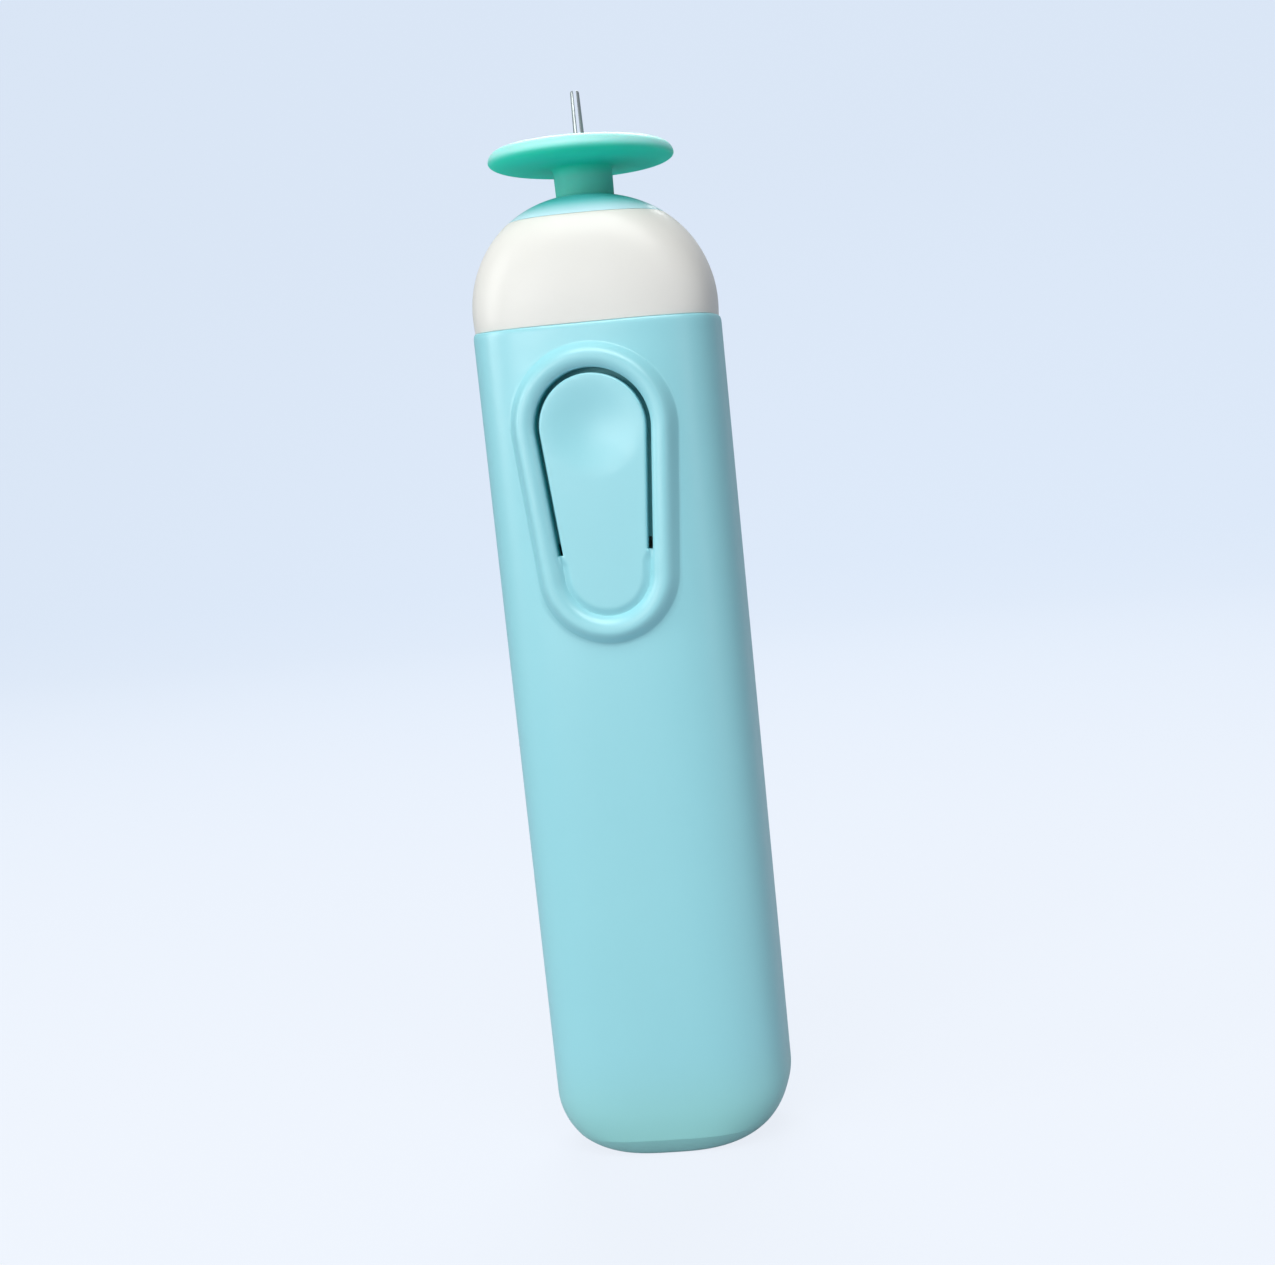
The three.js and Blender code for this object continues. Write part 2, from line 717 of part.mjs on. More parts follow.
// The switch sits in a pocket in the frame's front wall. Two windows lie behind the slot's ends.
function switchCuts() {
  const pocketTop = leafTopZ + 1.2;
  const reach = footHalfWidth;
  const slotEndX = buttonFootRadius + slotWidth;
  const tailRoom = tailHalfWidth + runGap;
  const cuts = [
    box(-keywayHalfWidth, keywayHalfWidth, -reach, pocketY, bayZ + 0.9, pocketTop),
    box(-keywayHalfWidth, keywayHalfWidth, -reach, keywayY, 0, pocketTop),
    rodAlongY(rivetRadius + fitGap, pocketY - 1, bayFrontY + 1, 0, leafRootZ),
    box(-tailRoom, tailRoom, pocketY - 1, bayFrontY + 1, leafRootZ - 1.9, leafRootZ - 0.95),
    box(-tailRoom, tailRoom, pocketY - 1, bayFrontY + 1, stripFootZ - runGap, stripFootZ + 0.5),
  ];
  for (const hand of [-1, 1]) {
    const centre = hand * (slotEndX - windowSetIn);
    cuts.push(box(
      centre - windowHalfWidth, centre + windowHalfWidth, -reach, bayFrontY + 1,
      hingeZ - windowHalfHeight, hingeZ + windowHalfHeight,
    ));
  }
  return cuts;
}

function gearPocket() {
  const shape = new THREE.Shape();
  shape.absarc(0, 0, gearPocketRadius, Math.PI / 2, (3 * Math.PI) / 2, false);
  shape.absarc(shaftSpacing, 0, gearPocketRadius, -Math.PI / 2, Math.PI / 2, false);
  return prism(shape, gearFloorZ, coverZ + 1, 10);
}

function chassisFrame() {
  const coverScrewHoles = [-1, 1].map((hand) => (
    rod(screwRadius + fitGap, coverZ - 4.5, coverZ + 1, coverScrewX, hand * coverScrewY, 16)
  ));
  const frame = cut(
    frameEnvelope(), ...batteryBayCuts(), ...motorBayCuts(), ...switchCuts(), gearPocket(),
    ...coverScrewHoles,
  );
  return finish('chassis_frame', frame, ...framePlastic);
}

function gearboxCover() {
  const plate = loft([coverZ, coverTop].map((z) => ({
    z, halfWidth: neckHalfWidth, halfDepth: neckHalfDepth,
  })));
  const holes = [-1, 1].map((hand) => (
    rod(screwRadius + fitGap, coverZ - 1, coverTop + 1, coverScrewX, hand * coverScrewY, 16)
  ));
  const cover = cut(
    solid(plate),
    rod(bushingRadius + fitGap, coverZ - 1, coverTop + 1),
    rod(layshaftRadius + fitGap, coverZ - 1, coverZ + 1.4, shaftSpacing, 0, 16),
    ...holes,
  );
  return finish('gearbox_cover', cover, ...framePlastic);
}

function coverBushing() {
  const bore = outputShaftRadius + runningClearance;
  const flange = bushingRadius + bushingFlange;
  const [z0, z1] = [coverZ - 0.7, coverTop + 1];
  const profile = [
    [bore, z0], [bushingRadius, z0], [bushingRadius, coverTop], [flange, coverTop],
    [flange, z1], [bore, z1], [bore, z0],
  ];
  return finish('cover_bushing', turned(profile, 24), ...bronze);
}

function screw(name, x, y, seatZ, length, up = true) {
  const direction = up ? 1 : -1;
  const body = turned([
    [0, -length], [screwRadius * 0.5, -length], [screwRadius, -length + 0.8], [screwRadius, 0],
    [screwHeadRadius, 0], [screwHeadRadius, screwHeadHeight * 0.6],
    [screwHeadRadius * 0.7, screwHeadHeight], [0, screwHeadHeight],
  ], 12);
  const slot = box(-screwHeadRadius, screwHeadRadius, -0.2, 0.2, screwHeadHeight - 0.35, screwHeadHeight + 1);
  const mesh = finish(name, cut(solid(body), slot), ...nickel);
  mesh.position.set(x, y, seatZ);
  mesh.scale.z = direction;
  return mesh;
}

// ---------------------------------------------------------------------------------------------
// Motor
// ---------------------------------------------------------------------------------------------

function flatSided(radius, halfFlat) {
  const reach = Math.asin(halfFlat / radius);
  const shape = new THREE.Shape();
  shape.absarc(0, 0, radius, -reach, reach, false);
  shape.absarc(0, 0, radius, Math.PI - reach, Math.PI + reach, false);
  return shape;
}

const canRadius = motorDiameter / 2;
const magnetOuterRadius = canRadius - motorCanWall - fitGap;
const armatureRadius = Math.min(magnetOuterRadius - magnetThickness, motorFlats / 2 - motorCanWall) - airGap;
const shoeRadius = armatureRadius - poleShoe;
const canZ = motorZ + endBellFlange;
const commutatorZ = canZ + endBellPlug + 0.3;
const armatureZ = commutatorZ + 3.2;

function motorCan() {
  const shell = cut(
    solid(prism(flatSided(canRadius, motorFlats / 2), canZ, deckZ, 7)),
    prism(flatSided(canRadius - motorCanWall, motorFlats / 2 - motorCanWall), canZ - 1,
      deckZ - motorCanWall, 7),
  );
  const bossTop = deckZ + motorBossHeight;
  const boss = rod(motorBossRadius, deckZ - motorCanWall, bossTop, 0, 0, 28);
  const screwHoles = [-1, 1].map((hand) => (
    rod(screwRadius + fitGap, deckZ - 2, deckZ + 1, 0, hand * motorScrewOffset, 16)
  ));
  const can = cut(join(shell, boss), rod(motorBushingRadius + fitGap, deckZ - 2, bossTop + 1), ...screwHoles);
  return finish('motor_can', can, ...steel);
}

function motorEndBell() {
  const inner = motorCanWall + fitGap;
  const bossZ = motorZ - motorBossHeight;
  const terminals = [-1, 1].map((hand) => box(
    hand * terminalOffset - 0.3, hand * terminalOffset + 0.3, -1.1, 1.1, motorZ - 1, canZ + 3,
  ));
  const bell = join(
    solid(prism(flatSided(canRadius, motorFlats / 2), motorZ, canZ, 7)),
    prism(flatSided(canRadius - inner, motorFlats / 2 - inner), canZ - 0.2, canZ + endBellPlug, 7),
    rod(motorBossRadius, bossZ, motorZ + 0.2, 0, 0, 28),
  );
  const bore = rod(motorBushingRadius + fitGap, bossZ - 1, canZ + 3);
  return finish('motor_end_bell', cut(bell, bore, ...terminals), ...nylon);
}

function motorBushing(name, z0, z1) {
  const bore = motorShaftRadius + runningClearance;
  return finish(name, tube(motorBushingRadius, bore, z0, z1, 20), ...bronze);
}

// A sector of a ring, centred on an angle in degrees, between two radii.
function ringSector(innerRadius, outerRadius, centre, innerHalf, outerHalf, steps = 6) {
  const polar = (radius, angle) => new THREE.Vector2(
    radius * Math.cos(THREE.MathUtils.degToRad(angle)),
    radius * Math.sin(THREE.MathUtils.degToRad(angle)),
  );
  const outer = between(centre - outerHalf, centre + outerHalf, steps);
  const inner = between(centre + innerHalf, centre - innerHalf, steps);
  return new THREE.Shape([
    ...outer.map((angle) => polar(outerRadius, angle)),
    ...inner.map((angle) => polar(innerRadius, angle)),
  ]);
}

// A magnet's arc stops just short of the can's flat sides.
function motorMagnet(name, centre) {
  const halfChord = motorFlats / 2 - motorCanWall - magnetEdgeRoom;
  const half = THREE.MathUtils.radToDeg(Math.asin(halfChord / magnetOuterRadius));
  const innerRadius = magnetOuterRadius - magnetThickness;
  const shape = ringSector(innerRadius, magnetOuterRadius, centre, half, half);
  const z0 = armatureZ - 1;
  return finish(name, prism(shape, z0, z0 + magnetLength), ...ferrite);
}

function motorBrush(name, hand) {
  const [near, far] = [hand * (commutatorRadius + 0.15), hand * (terminalOffset + 0.2)];
  const block = box(
    Math.min(near, far), Math.max(near, far), -0.8, 0.8, commutatorZ + 0.6, commutatorZ + 1.8,
  );
  return finish(name, block, ...copper);
}

function motorTerminal(name, hand) {
  const blade = box(
    hand * terminalOffset - 0.2, hand * terminalOffset + 0.2, -1, 1,
    motorZ - terminalLength, commutatorZ + 0.3,
  );
  return finish(name, blade, ...brass);
}

function motorShaft() {
  const shaft = rod(motorShaftRadius, motorZ - 0.7, stageOneTop - 0.1, 0, 0, 20);
  return finish('motor_shaft', shaft, ...steel);
}

function armatureCore() {
  const polar = (radius, angle) => {
    const turn = THREE.MathUtils.degToRad(angle);
    return new THREE.Vector2(radius * Math.cos(turn), radius * Math.sin(turn));
  };
  const points = [];
  const hub = armatureHubRadius;
  for (const pole of [0, 120, 240]) {
    points.push(polar(hub, pole - 30), polar(shoeRadius, pole - 13.8), polar(shoeRadius, pole - 48));
    points.push(...between(pole - 50, pole + 50, 6).map((angle) => polar(armatureRadius, angle)));
    points.push(polar(shoeRadius, pole + 48), polar(shoeRadius, pole + 13.8));
    points.push(polar(hub, pole + 30), polar(hub, pole + 60));
  }
  const core = solid(prism(new THREE.Shape(points), armatureZ, armatureZ + armatureLength));
  const bore = rod(motorShaftRadius + fitGap, armatureZ - 1, armatureZ + armatureLength + 1, 0, 0, 16);
  return finish('armature_core', cut(core, bore), ...steel);
}

function armatureWinding(name, centre) {
  const shape = ringSector(armatureHubRadius + 0.2, shoeRadius - 0.2, centre, 25, 40, 4);
  return finish(name, prism(shape, armatureZ - 0.9, armatureZ + armatureLength + 0.9), ...copper);
}

function commutator() {
  const ring = tube(commutatorRadius, motorShaftRadius + fitGap, commutatorZ, armatureZ - 1.1, 18);
  return finish('commutator', ring, ...copper);
}

// ---------------------------------------------------------------------------------------------
// Cells and contacts
// ---------------------------------------------------------------------------------------------

function cell(name, x, z0, nubUp) {
  const canTop = cellLength - cellNubHeight;
  const nub = cellNubDiameter / 2;
  const body = turned([
    [0, 0], [cellRadius - cellBevel, 0], [cellRadius, cellBevel], [cellRadius, canTop - cellBevel],
    [cellRadius - cellBevel, canTop], [nub, canTop], [nub, cellLength], [0, cellLength],
  ], 24);
  const mesh = finish(name, body, ...cellCover);
  mesh.position.set(x, 0, nubUp ? z0 : z0 + cellLength);
  if (!nubUp) mesh.rotation.x = Math.PI;
  return mesh;
}

function bridgeContact() {
  const reach = cellOffset + contactWidth / 2;
  const plate = box(
    -reach, reach, -contactHalfDepth, contactHalfDepth, lowerContactZ, lowerContactZ + contactThickness,
  );
  return finish('bridge_contact', plate, ...nickel);
}

function upperContact(name, hand) {
  const centre = hand * cellOffset;
  const plate = box(
    centre - contactWidth / 2, centre + contactWidth / 2, -contactHalfDepth, contactHalfDepth,
    upperContactZ, upperWallZ,
  );
  const tab = box(
    tabX(hand) - tabWidth / 2, tabX(hand) + tabWidth / 2,
    contactHalfDepth - contactThickness, contactHalfDepth, upperContactZ, upperWallZ + tabHeight,
  );
  return finish(name, join(solid(plate), tab), ...nickel);
}

function contactSpring(name, x, z0) {
  const bottom = z0 + touchGap + springWireRadius;
  const top = z0 + springRoom - touchGap - springWireRadius;
  const points = between(0, springTurns, springTurns * 8).map((turn) => [
    x + springRadius * Math.cos(2 * Math.PI * turn),
    springRadius * Math.sin(2 * Math.PI * turn),
    bottom + ((top - bottom) * turn) / springTurns,
  ]);
  return finish(name, wireAlong(points, springWireRadius, springTurns * 12, 5), ...nickel);
}

// ---------------------------------------------------------------------------------------------
// Switch and leads
// ---------------------------------------------------------------------------------------------

function switchLeaf() {
  const footZ = leafRootZ - 1.5;
  const footY = pocketY - 0.05;
  const tailY = footY + tailLength;
  const profile = [
    [tailY, footZ], [tailY, footZ + stripThickness], [footY, footZ + stripThickness],
    [footY, leafRootZ + 1.5], [leafY, leafRootZ + 3.2], [leafY, leafTopZ],
    [leafY - stripThickness, leafTopZ], [leafY - stripThickness, leafRootZ + 3.1],
    [footY - stripThickness, leafRootZ + 1.4], [footY - stripThickness, footZ],
  ];
  const hole = rodAlongY(rivetRadius + fitGap, footY - 2, footY + 2, 0, leafRootZ);
  return finish('switch_leaf', cut(solid(strip(profile, tailHalfWidth + 0.2)), hole), ...brass);
}

function leafRivet() {
  const footFront = pocketY - 0.05 - stripThickness;
  const rivet = join(
    solid(rodAlongY(rivetRadius, footFront - 0.3, bayFrontY + 0.3, 0, leafRootZ)),
    rodAlongY(1.3, footFront - 0.5, footFront - fitGap, 0, leafRootZ),
    rodAlongY(1.3, bayFrontY + fitGap, bayFrontY + 0.5, 0, leafRootZ),
  );
  return finish('leaf_rivet', rivet, ...nickel);
}

function switchFixedContact() {
  const tailY = pocketY + tailLength;
  const profile = [
    [tailY, stripFootZ], [tailY, stripFootZ + stripThickness], [pocketY, stripFootZ + stripThickness],
    [pocketY, leafTopZ], [stripY, leafTopZ], [stripY, stripFootZ],
  ];
  const dimple = rodAlongY(0.8, stripY - contactDimple, stripY + 0.1, 0, plungerZ);
  return finish('switch_fixed_contact', join(solid(strip(profile, tailHalfWidth)), dimple), ...brass);
}

const tabTopZ = upperWallZ + tabHeight + touchGap;
const tabY = contactHalfDepth - contactThickness / 2;
const terminalFootZ = motorZ - terminalLength - touchGap;
const tailEndY = pocketY + tailLength - 0.6;

function leadRed() {
  const route = [
    [tabX(-1), tabY, tabTopZ],
    [tabX(-1), tabY + 0.2, tabTopZ + 2.6],
    [-terminalOffset - 0.6, tabY - 0.4, tabTopZ + (terminalFootZ - tabTopZ) * 0.55],
    [-terminalOffset, 0.6, terminalFootZ - 2],
    [-terminalOffset, 0, terminalFootZ],
  ];
  return finish('lead_red', wireAlong(route, leadRadius, 14, 6), ...redCover);
}

function leadBlack() {
  const tailTop = leafRootZ - 1.5 + stripThickness + touchGap;
  const route = [
    [tabX(1), tabY, tabTopZ],
    [tabX(1), tabY - 0.2, tabTopZ + 2.4],
    [tabX(1) * 0.7, 0.4, tabTopZ + 4.4],
    [tabX(1) * 0.25, -3, tabTopZ + 3.4],
    [0, tailEndY + 0.1, tailTop + 1.6],
    [0, tailEndY, tailTop],
  ];
  return finish('lead_black', wireAlong(route, leadRadius, 18, 6), ...blackCover);
}

function leadSwitch() {
  const start = stripFootZ - touchGap;
  const route = [
    [0, tailEndY, start],
    [0.2, tailEndY + 0.1, start - 1.8],
    [2.2, tailEndY + 1.8, start - 3.4],
    [terminalOffset - 0.4, -0.6, start - 2.6],
    [terminalOffset, 0, terminalFootZ - 1.2],
    [terminalOffset, 0, terminalFootZ],
  ];
  return finish('lead_switch', wireAlong(route, leadRadius, 16, 6), ...redCover);
}

// ---------------------------------------------------------------------------------------------
// Assembly
// ---------------------------------------------------------------------------------------------

function group(...children) {
  const assembly = new THREE.Group();
  assembly.add(...children);
  return assembly;
}

const windingHead = group(windingDisc(), slottedNeedle(), outputShaft(), outputGear());

const layshaft = group(compoundGear());
layshaft.position.x = shaftSpacing;

const rotor = group(
  motorShaft(),
  motorPinion(),
  armatureCore(),
  armatureWinding('armature_winding_1', 60),
  armatureWinding('armature_winding_2', 180),
  armatureWinding('armature_winding_3', 300),
  commutator(),
);

const motor = group(
  motorCan(),
  motorEndBell(),
  motorBushing('motor_front_bushing', deckZ - 1.3, deckZ + motorBossHeight),
  motorBushing('motor_rear_bushing', motorZ - motorBossHeight, motorZ + 1.6),
  motorMagnet('motor_magnet_left', 180),
  motorMagnet('motor_magnet_right', 0),
  motorBrush('motor_brush_left', -1),
  motorBrush('motor_brush_right', 1),
  motorTerminal('motor_terminal_left', -1),
  motorTerminal('motor_terminal_right', 1),
  screw('motor_screw_front', 0, -motorScrewOffset, gearFloorZ, deckThickness + 1),
  screw('motor_screw_back', 0, motorScrewOffset, gearFloorZ, deckThickness + 1),
  rotor,
);

const battery = group(
  cell('cell_left', -cellOffset, leftCellZ, true),
  cell('cell_right', cellOffset, rightCellZ, false),
  bridgeContact(),
  upperContact('positive_contact', -1),
  upperContact('negative_contact', 1),
  contactSpring('lower_contact_spring', -cellOffset, lowerContactZ + contactThickness),
  contactSpring('upper_contact_spring', cellOffset, rightCellZ + cellLength),
);

const chassis = group(
  shoulderCap(),
  noseDome(),
  noseBushing(),
  chassisFrame(),
  gearboxCover(),
  coverBushing(),
  screw('cover_screw_front', coverScrewX, -coverScrewY, coverTop, coverThickness + 3.8),
  screw('cover_screw_back', coverScrewX, coverScrewY, coverTop, coverThickness + 3.8),
  layshaftPin(),
  motor,
  battery,
  switchLeaf(),
  leafRivet(),
  switchFixedContact(),
  leadRed(),
  leadBlack(),
  leadSwitch(),
  windingHead,
  layshaft,
);

const pen = group(bodySleeve(), powerButton(), chassis);

export default pen;
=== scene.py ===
"""The finished look of a hand-held electric quilling pen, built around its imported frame.

Lengths in this file are millimetres, and become metres where a mesh or a lamp is made. +Z runs up the
pen, -Y is the front with the button, and +X is to the right.
"""

import math

import bmesh
import bpy
import numpy as np
from mathutils import Matrix, Vector


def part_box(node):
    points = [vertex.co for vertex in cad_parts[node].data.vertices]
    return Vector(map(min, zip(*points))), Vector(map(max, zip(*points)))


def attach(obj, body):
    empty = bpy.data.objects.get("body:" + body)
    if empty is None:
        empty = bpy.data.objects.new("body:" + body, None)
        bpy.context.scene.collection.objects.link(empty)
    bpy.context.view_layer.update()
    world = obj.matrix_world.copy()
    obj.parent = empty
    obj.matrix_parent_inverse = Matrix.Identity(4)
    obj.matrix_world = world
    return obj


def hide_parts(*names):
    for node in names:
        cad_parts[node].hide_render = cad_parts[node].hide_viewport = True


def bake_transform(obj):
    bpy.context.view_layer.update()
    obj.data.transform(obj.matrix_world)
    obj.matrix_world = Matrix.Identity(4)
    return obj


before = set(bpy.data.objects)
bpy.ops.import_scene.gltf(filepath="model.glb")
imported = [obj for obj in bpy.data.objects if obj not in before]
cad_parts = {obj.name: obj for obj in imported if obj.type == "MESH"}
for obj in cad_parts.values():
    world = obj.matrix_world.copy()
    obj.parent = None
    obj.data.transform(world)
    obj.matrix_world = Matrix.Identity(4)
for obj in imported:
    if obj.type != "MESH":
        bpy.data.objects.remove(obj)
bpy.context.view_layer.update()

MM = 0.001

# --- Sizes ---


def metres(x, y, z):
    """A point in metres from one in millimetres."""
    return (x * MM, y * MM, z * MM)


def corners(node):
    """A node's lowest and highest corners, in millimetres."""
    low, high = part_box(node)
    return np.array(low) / MM, np.array(high) / MM


SLEEVE_LOW, SLEEVE_HIGH = corners("body_sleeve")
BUTTON_LOW, BUTTON_HIGH = corners("power_button")
CAP_LOW, CAP_HIGH = corners("shoulder_cap")
NOSE_FOOT_Z = corners("nose_dome")[0][2]
DISC_LOW, DISC_HIGH = corners("winding_disc")
NEEDLE_LOW, NEEDLE_HIGH = corners("slotted_needle")

# Sleeve: wall and floor, its section, the foot's corner and edge, and the rim at the mouth
WALL = 1.5
FLOOR = 2.0
SEAM_Z = SLEEVE_HIGH[2]
MOUTH_WIDTH = SLEEVE_HIGH[0]
MOUTH_DEPTH = SLEEVE_HIGH[1]
DRAFT_WIDTH = 0.25
DRAFT_DEPTH = 0.15
ROUND = 3.2
FOOT_CORNER = 8.6
FOOT_EASE = 0.55
FOOT_EASE_RISE = 7.0
FOOT_EDGE = 1.7
FOOT_EDGE_RISE = 2.6
RIM = 0.9
RIM_LOSS = 0.26
INNER_RIM = 0.25

# Button and the bead around it
TOP_RADIUS = 7.42
FOOT_RADIUS = 5.77
TOP_Z = SEAM_Z - 13.6
FOOT_Z = TOP_Z - 19.2
SLOT = 0.36
HINGE_Z = BUTTON_LOW[2] - 0.15
BEAD_OUT = 3.8
CREST = 2.0
GROOVE = 0.34
GROOVE_RUN = 1.6
BEAD_Y = SLEEVE_LOW[1]
PAD_Y = BUTTON_LOW[1]
PAD_THICK = 1.2
PAD_EDGE = 0.3
PLUNGER_Z = HINGE_Z + 6.95
PLUNGER_RADIUS = 1.4
DIMPLE_RADIUS = 6.9
DIMPLE_DEPTH = 0.6

# The front panel that holds the bead, as part of the sleeve's grid
PANEL_COLUMNS = 56
PANEL_ROWS = 108
PANEL_LOW = FOOT_Z - FOOT_RADIUS - BEAD_OUT - 3.3
PANEL_HIGH = SEAM_Z - 1.3
PANEL_HALF = 12.6

# Cap and nose
SEAM_GAP = 0.04
CAP_RADIUS = CAP_HIGH[0]
CAP_DEPTH = CAP_HIGH[1]
CAP_MOUTH_RADIUS = 6.1
CAP_ROUND = 3.4
ROUND_FALL = 0.9
RIM_EASE_RISE = 6.0
ARCH_POWER = 2.2
ARCH_Z = SEAM_Z + 1.0
SKIRT_GAP = 0.2
SKIRT_WALL = 1.3
NOSE_Z = CAP_HIGH[2]
DOME_Z = ARCH_Z + CAP_RADIUS
RECESS_RADIUS = 4.3
RECESS_EDGE = 0.05

# Winding head
DISC_RADIUS = DISC_HIGH[0]
DISC_TOP = DISC_HIGH[2]
DISC_Z = DISC_TOP - 2.4
STEM_Z = DISC_LOW[2]
STEM_RADIUS = 3.85
NEEDLE_TURN = math.radians(6)


# --- Mesh building ---


def eased(share):
    """A smooth step of a share from 0 to 1: 3 s^2 - 2 s^3."""
    return share * share * (3 - 2 * share)


def quarter(count):
    """Angles spread evenly from 0 to a quarter turn."""
    return np.linspace(0, np.pi / 2, count)


def around(count):
    """Angles spread evenly round a full turn, whose end isn't repeated."""
    return np.linspace(0, 2 * np.pi, count, endpoint=False)


def points_of(x, y, z):
    """An array of points from their coordinates, each of them spread over the whole array."""
    return np.stack(np.broadcast_arrays(x, y, z), -1)


def placed(name, data):
    """An object in the scene that shows a mesh, a lamp or a camera."""
    obj = bpy.data.objects.new(name, data)
    bpy.context.scene.collection.objects.link(obj)
    return obj


def mesh_object(name, points, quads):
    """A mesh object from an array of points in millimetres and an index array of quads."""
    mesh = bpy.data.meshes.new(name)
    mesh.from_pydata((points * MM).tolist(), [], quads.tolist())
    return placed(name, mesh)


def grid_quads(rows, columns, close_rows=False, close_columns=False, skip=None):
    """Quads of a grid whose point (row, column) has the number row * columns + column."""
    row = np.arange(rows if close_rows else rows - 1)
    column = np.arange(columns if close_columns else columns - 1)
    a, b = np.meshgrid(row, column, indexing="ij")
    if skip is not None:
        keep = ~skip(a, b)
        a, b = a[keep], b[keep]
    a, b = a.ravel(), b.ravel()
    a2, b2 = (a + 1) % rows, (b + 1) % columns
    return np.stack([a * columns + b, a * columns + b2, a2 * columns + b2, a2 * columns + b], 1)


def skin(name, grid, close_rows=False):
    """A mesh object from a grid of points whose rows are rings, the last joined to the first where asked."""
    rows, columns = grid.shape[:2]
    return mesh_object(name, grid.reshape(-1, 3), grid_quads(rows, columns, close_rows, True))


def with_poles(grid, first, last):
    """A grid with one more row at each end that lies in a single point, so that the skin closes there."""
    ends = [np.broadcast_to(point, grid[:1].shape) for point in (first, last)]
    return np.concatenate([ends[0], grid, ends[1]])


def shade(bm, sharp):
    """Smooth faces, with a sharp edge wherever two meet at more than an angle in degrees."""
    for face in bm.faces:
        face.smooth = True
    for edge in bm.edges:
        edge.smooth = edge.calc_face_angle(0.0) < math.radians(sharp)


def tidy(obj, sharp=180, distance=0.002, outwards=True):
    """Merges doubles, closes flat poles, points faces outwards and shades smooth, or sharp past an angle."""
    bm = bmesh.new()
    bm.from_mesh(obj.data)
    bmesh.ops.remove_doubles(bm, verts=bm.verts, dist=distance * MM)
    bmesh.ops.dissolve_degenerate(bm, edges=bm.edges, dist=distance * MM * 0.1)
    if outwards:
        bmesh.ops.recalc_face_normals(bm, faces=bm.faces)
    shade(bm, sharp)
    bm.to_mesh(obj.data)
    bm.free()


def dress(obj, material, body=None, replaces=()):
    """Gives a piece its material, the body that it rides and the nodes it stands for."""
    obj.data.materials.clear()
    obj.data.materials.append(material)
    if body is not None:
        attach(obj, body)
    if replaces:
        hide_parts(*replaces)


def superellipse(turn, half_width, half_depth, power):
    """x = a sgn(cos t) |cos t|^(2/n) and y = b sgn(sin t) |sin t|^(2/n)."""
    c, s = np.cos(turn), np.sin(turn)
    x = half_width * np.sign(c) * np.abs(c) ** (2 / power)
    y = half_depth * np.sign(s) * np.abs(s) ** (2 / power)
    return x, y


def lathe(name, profile, sides):
    """Turns a closed profile of (radius, z) rows about Z: x = r cos t, y = r sin t."""
    profile = np.asarray(profile, float)
    turn = around(sides)
    radius = np.maximum(profile[:, :1], 0)
    return skin(name, points_of(radius * np.cos(turn), radius * np.sin(turn), profile[:, 1:]), True)


def rounded(profile, radii, steps):
    """A closed profile with each corner replaced by a curve of its radius, tangent to both edges:
    (1 - t)^2 a + 2 t (1 - t) c + t^2 b, from the edge point a past the corner c to the edge point b."""
    profile = np.asarray(profile, float)
    most_of_edge = 0.49
    out = []
    for i, (here, radius) in enumerate(zip(profile, radii)):
        if radius <= 0:
            out.append(here[None])
            continue
        back, on = profile[i - 1] - here, profile[(i + 1) % len(profile)] - here
        back_length, on_length = np.linalg.norm(back), np.linalg.norm(on)
        back, on = back / back_length, on / on_length
        half = math.acos(np.clip(back @ on, -1, 1)) / 2
        reach = min(radius / math.tan(half), most_of_edge * back_length, most_of_edge * on_length)
        t = np.linspace(0, 1, steps + 1)[:, None]
        start, end = here + back * reach, here + on * reach
        out.append((1 - t) ** 2 * start + 2 * t * (1 - t) * here + t ** 2 * end)
    return np.concatenate(out)


# --- Sleeve, bead and button ---


def sleeve_section(z, inset=0.0):
    """Half width and half depth at height z: a drafted box whose foot has round corners in front view,
    eases back in depth as a square of the height left, and then turns under at a crisp edge."""
    rise = z / SEAM_Z
    corner = FOOT_CORNER - inset
    below = np.maximum(0, FOOT_CORNER - z)
    corner_loss = corner - np.sqrt(np.maximum(0, corner ** 2 - below ** 2))
    ease = FOOT_EASE * np.maximum(0, 1 - z / FOOT_EASE_RISE) ** 2
    drop = np.maximum(0, 1 - z / FOOT_EDGE_RISE)
    turned_under = 0.5 * drop + 0.5 * (1 - np.sqrt(1 - drop ** 2))
    edge_loss = FOOT_EDGE * turned_under if inset == 0 else 0
    half_width = MOUTH_WIDTH - DRAFT_WIDTH * (1 - rise) - inset - corner_loss
    half_depth = MOUTH_DEPTH - DRAFT_DEPTH * (1 - rise) - inset - ease - edge_loss
    return half_width, half_depth


def sleeve_front(x, z, inset=0.0):
    """The sleeve's front surface: y = -b (1 - |x/a|^n)^(1/n)."""
    half_width, half_depth = sleeve_section(z, inset)
    share = np.clip(np.abs(x) / half_width, 0, 1)
    return -half_depth * (1 - share ** ROUND) ** (1 / ROUND)


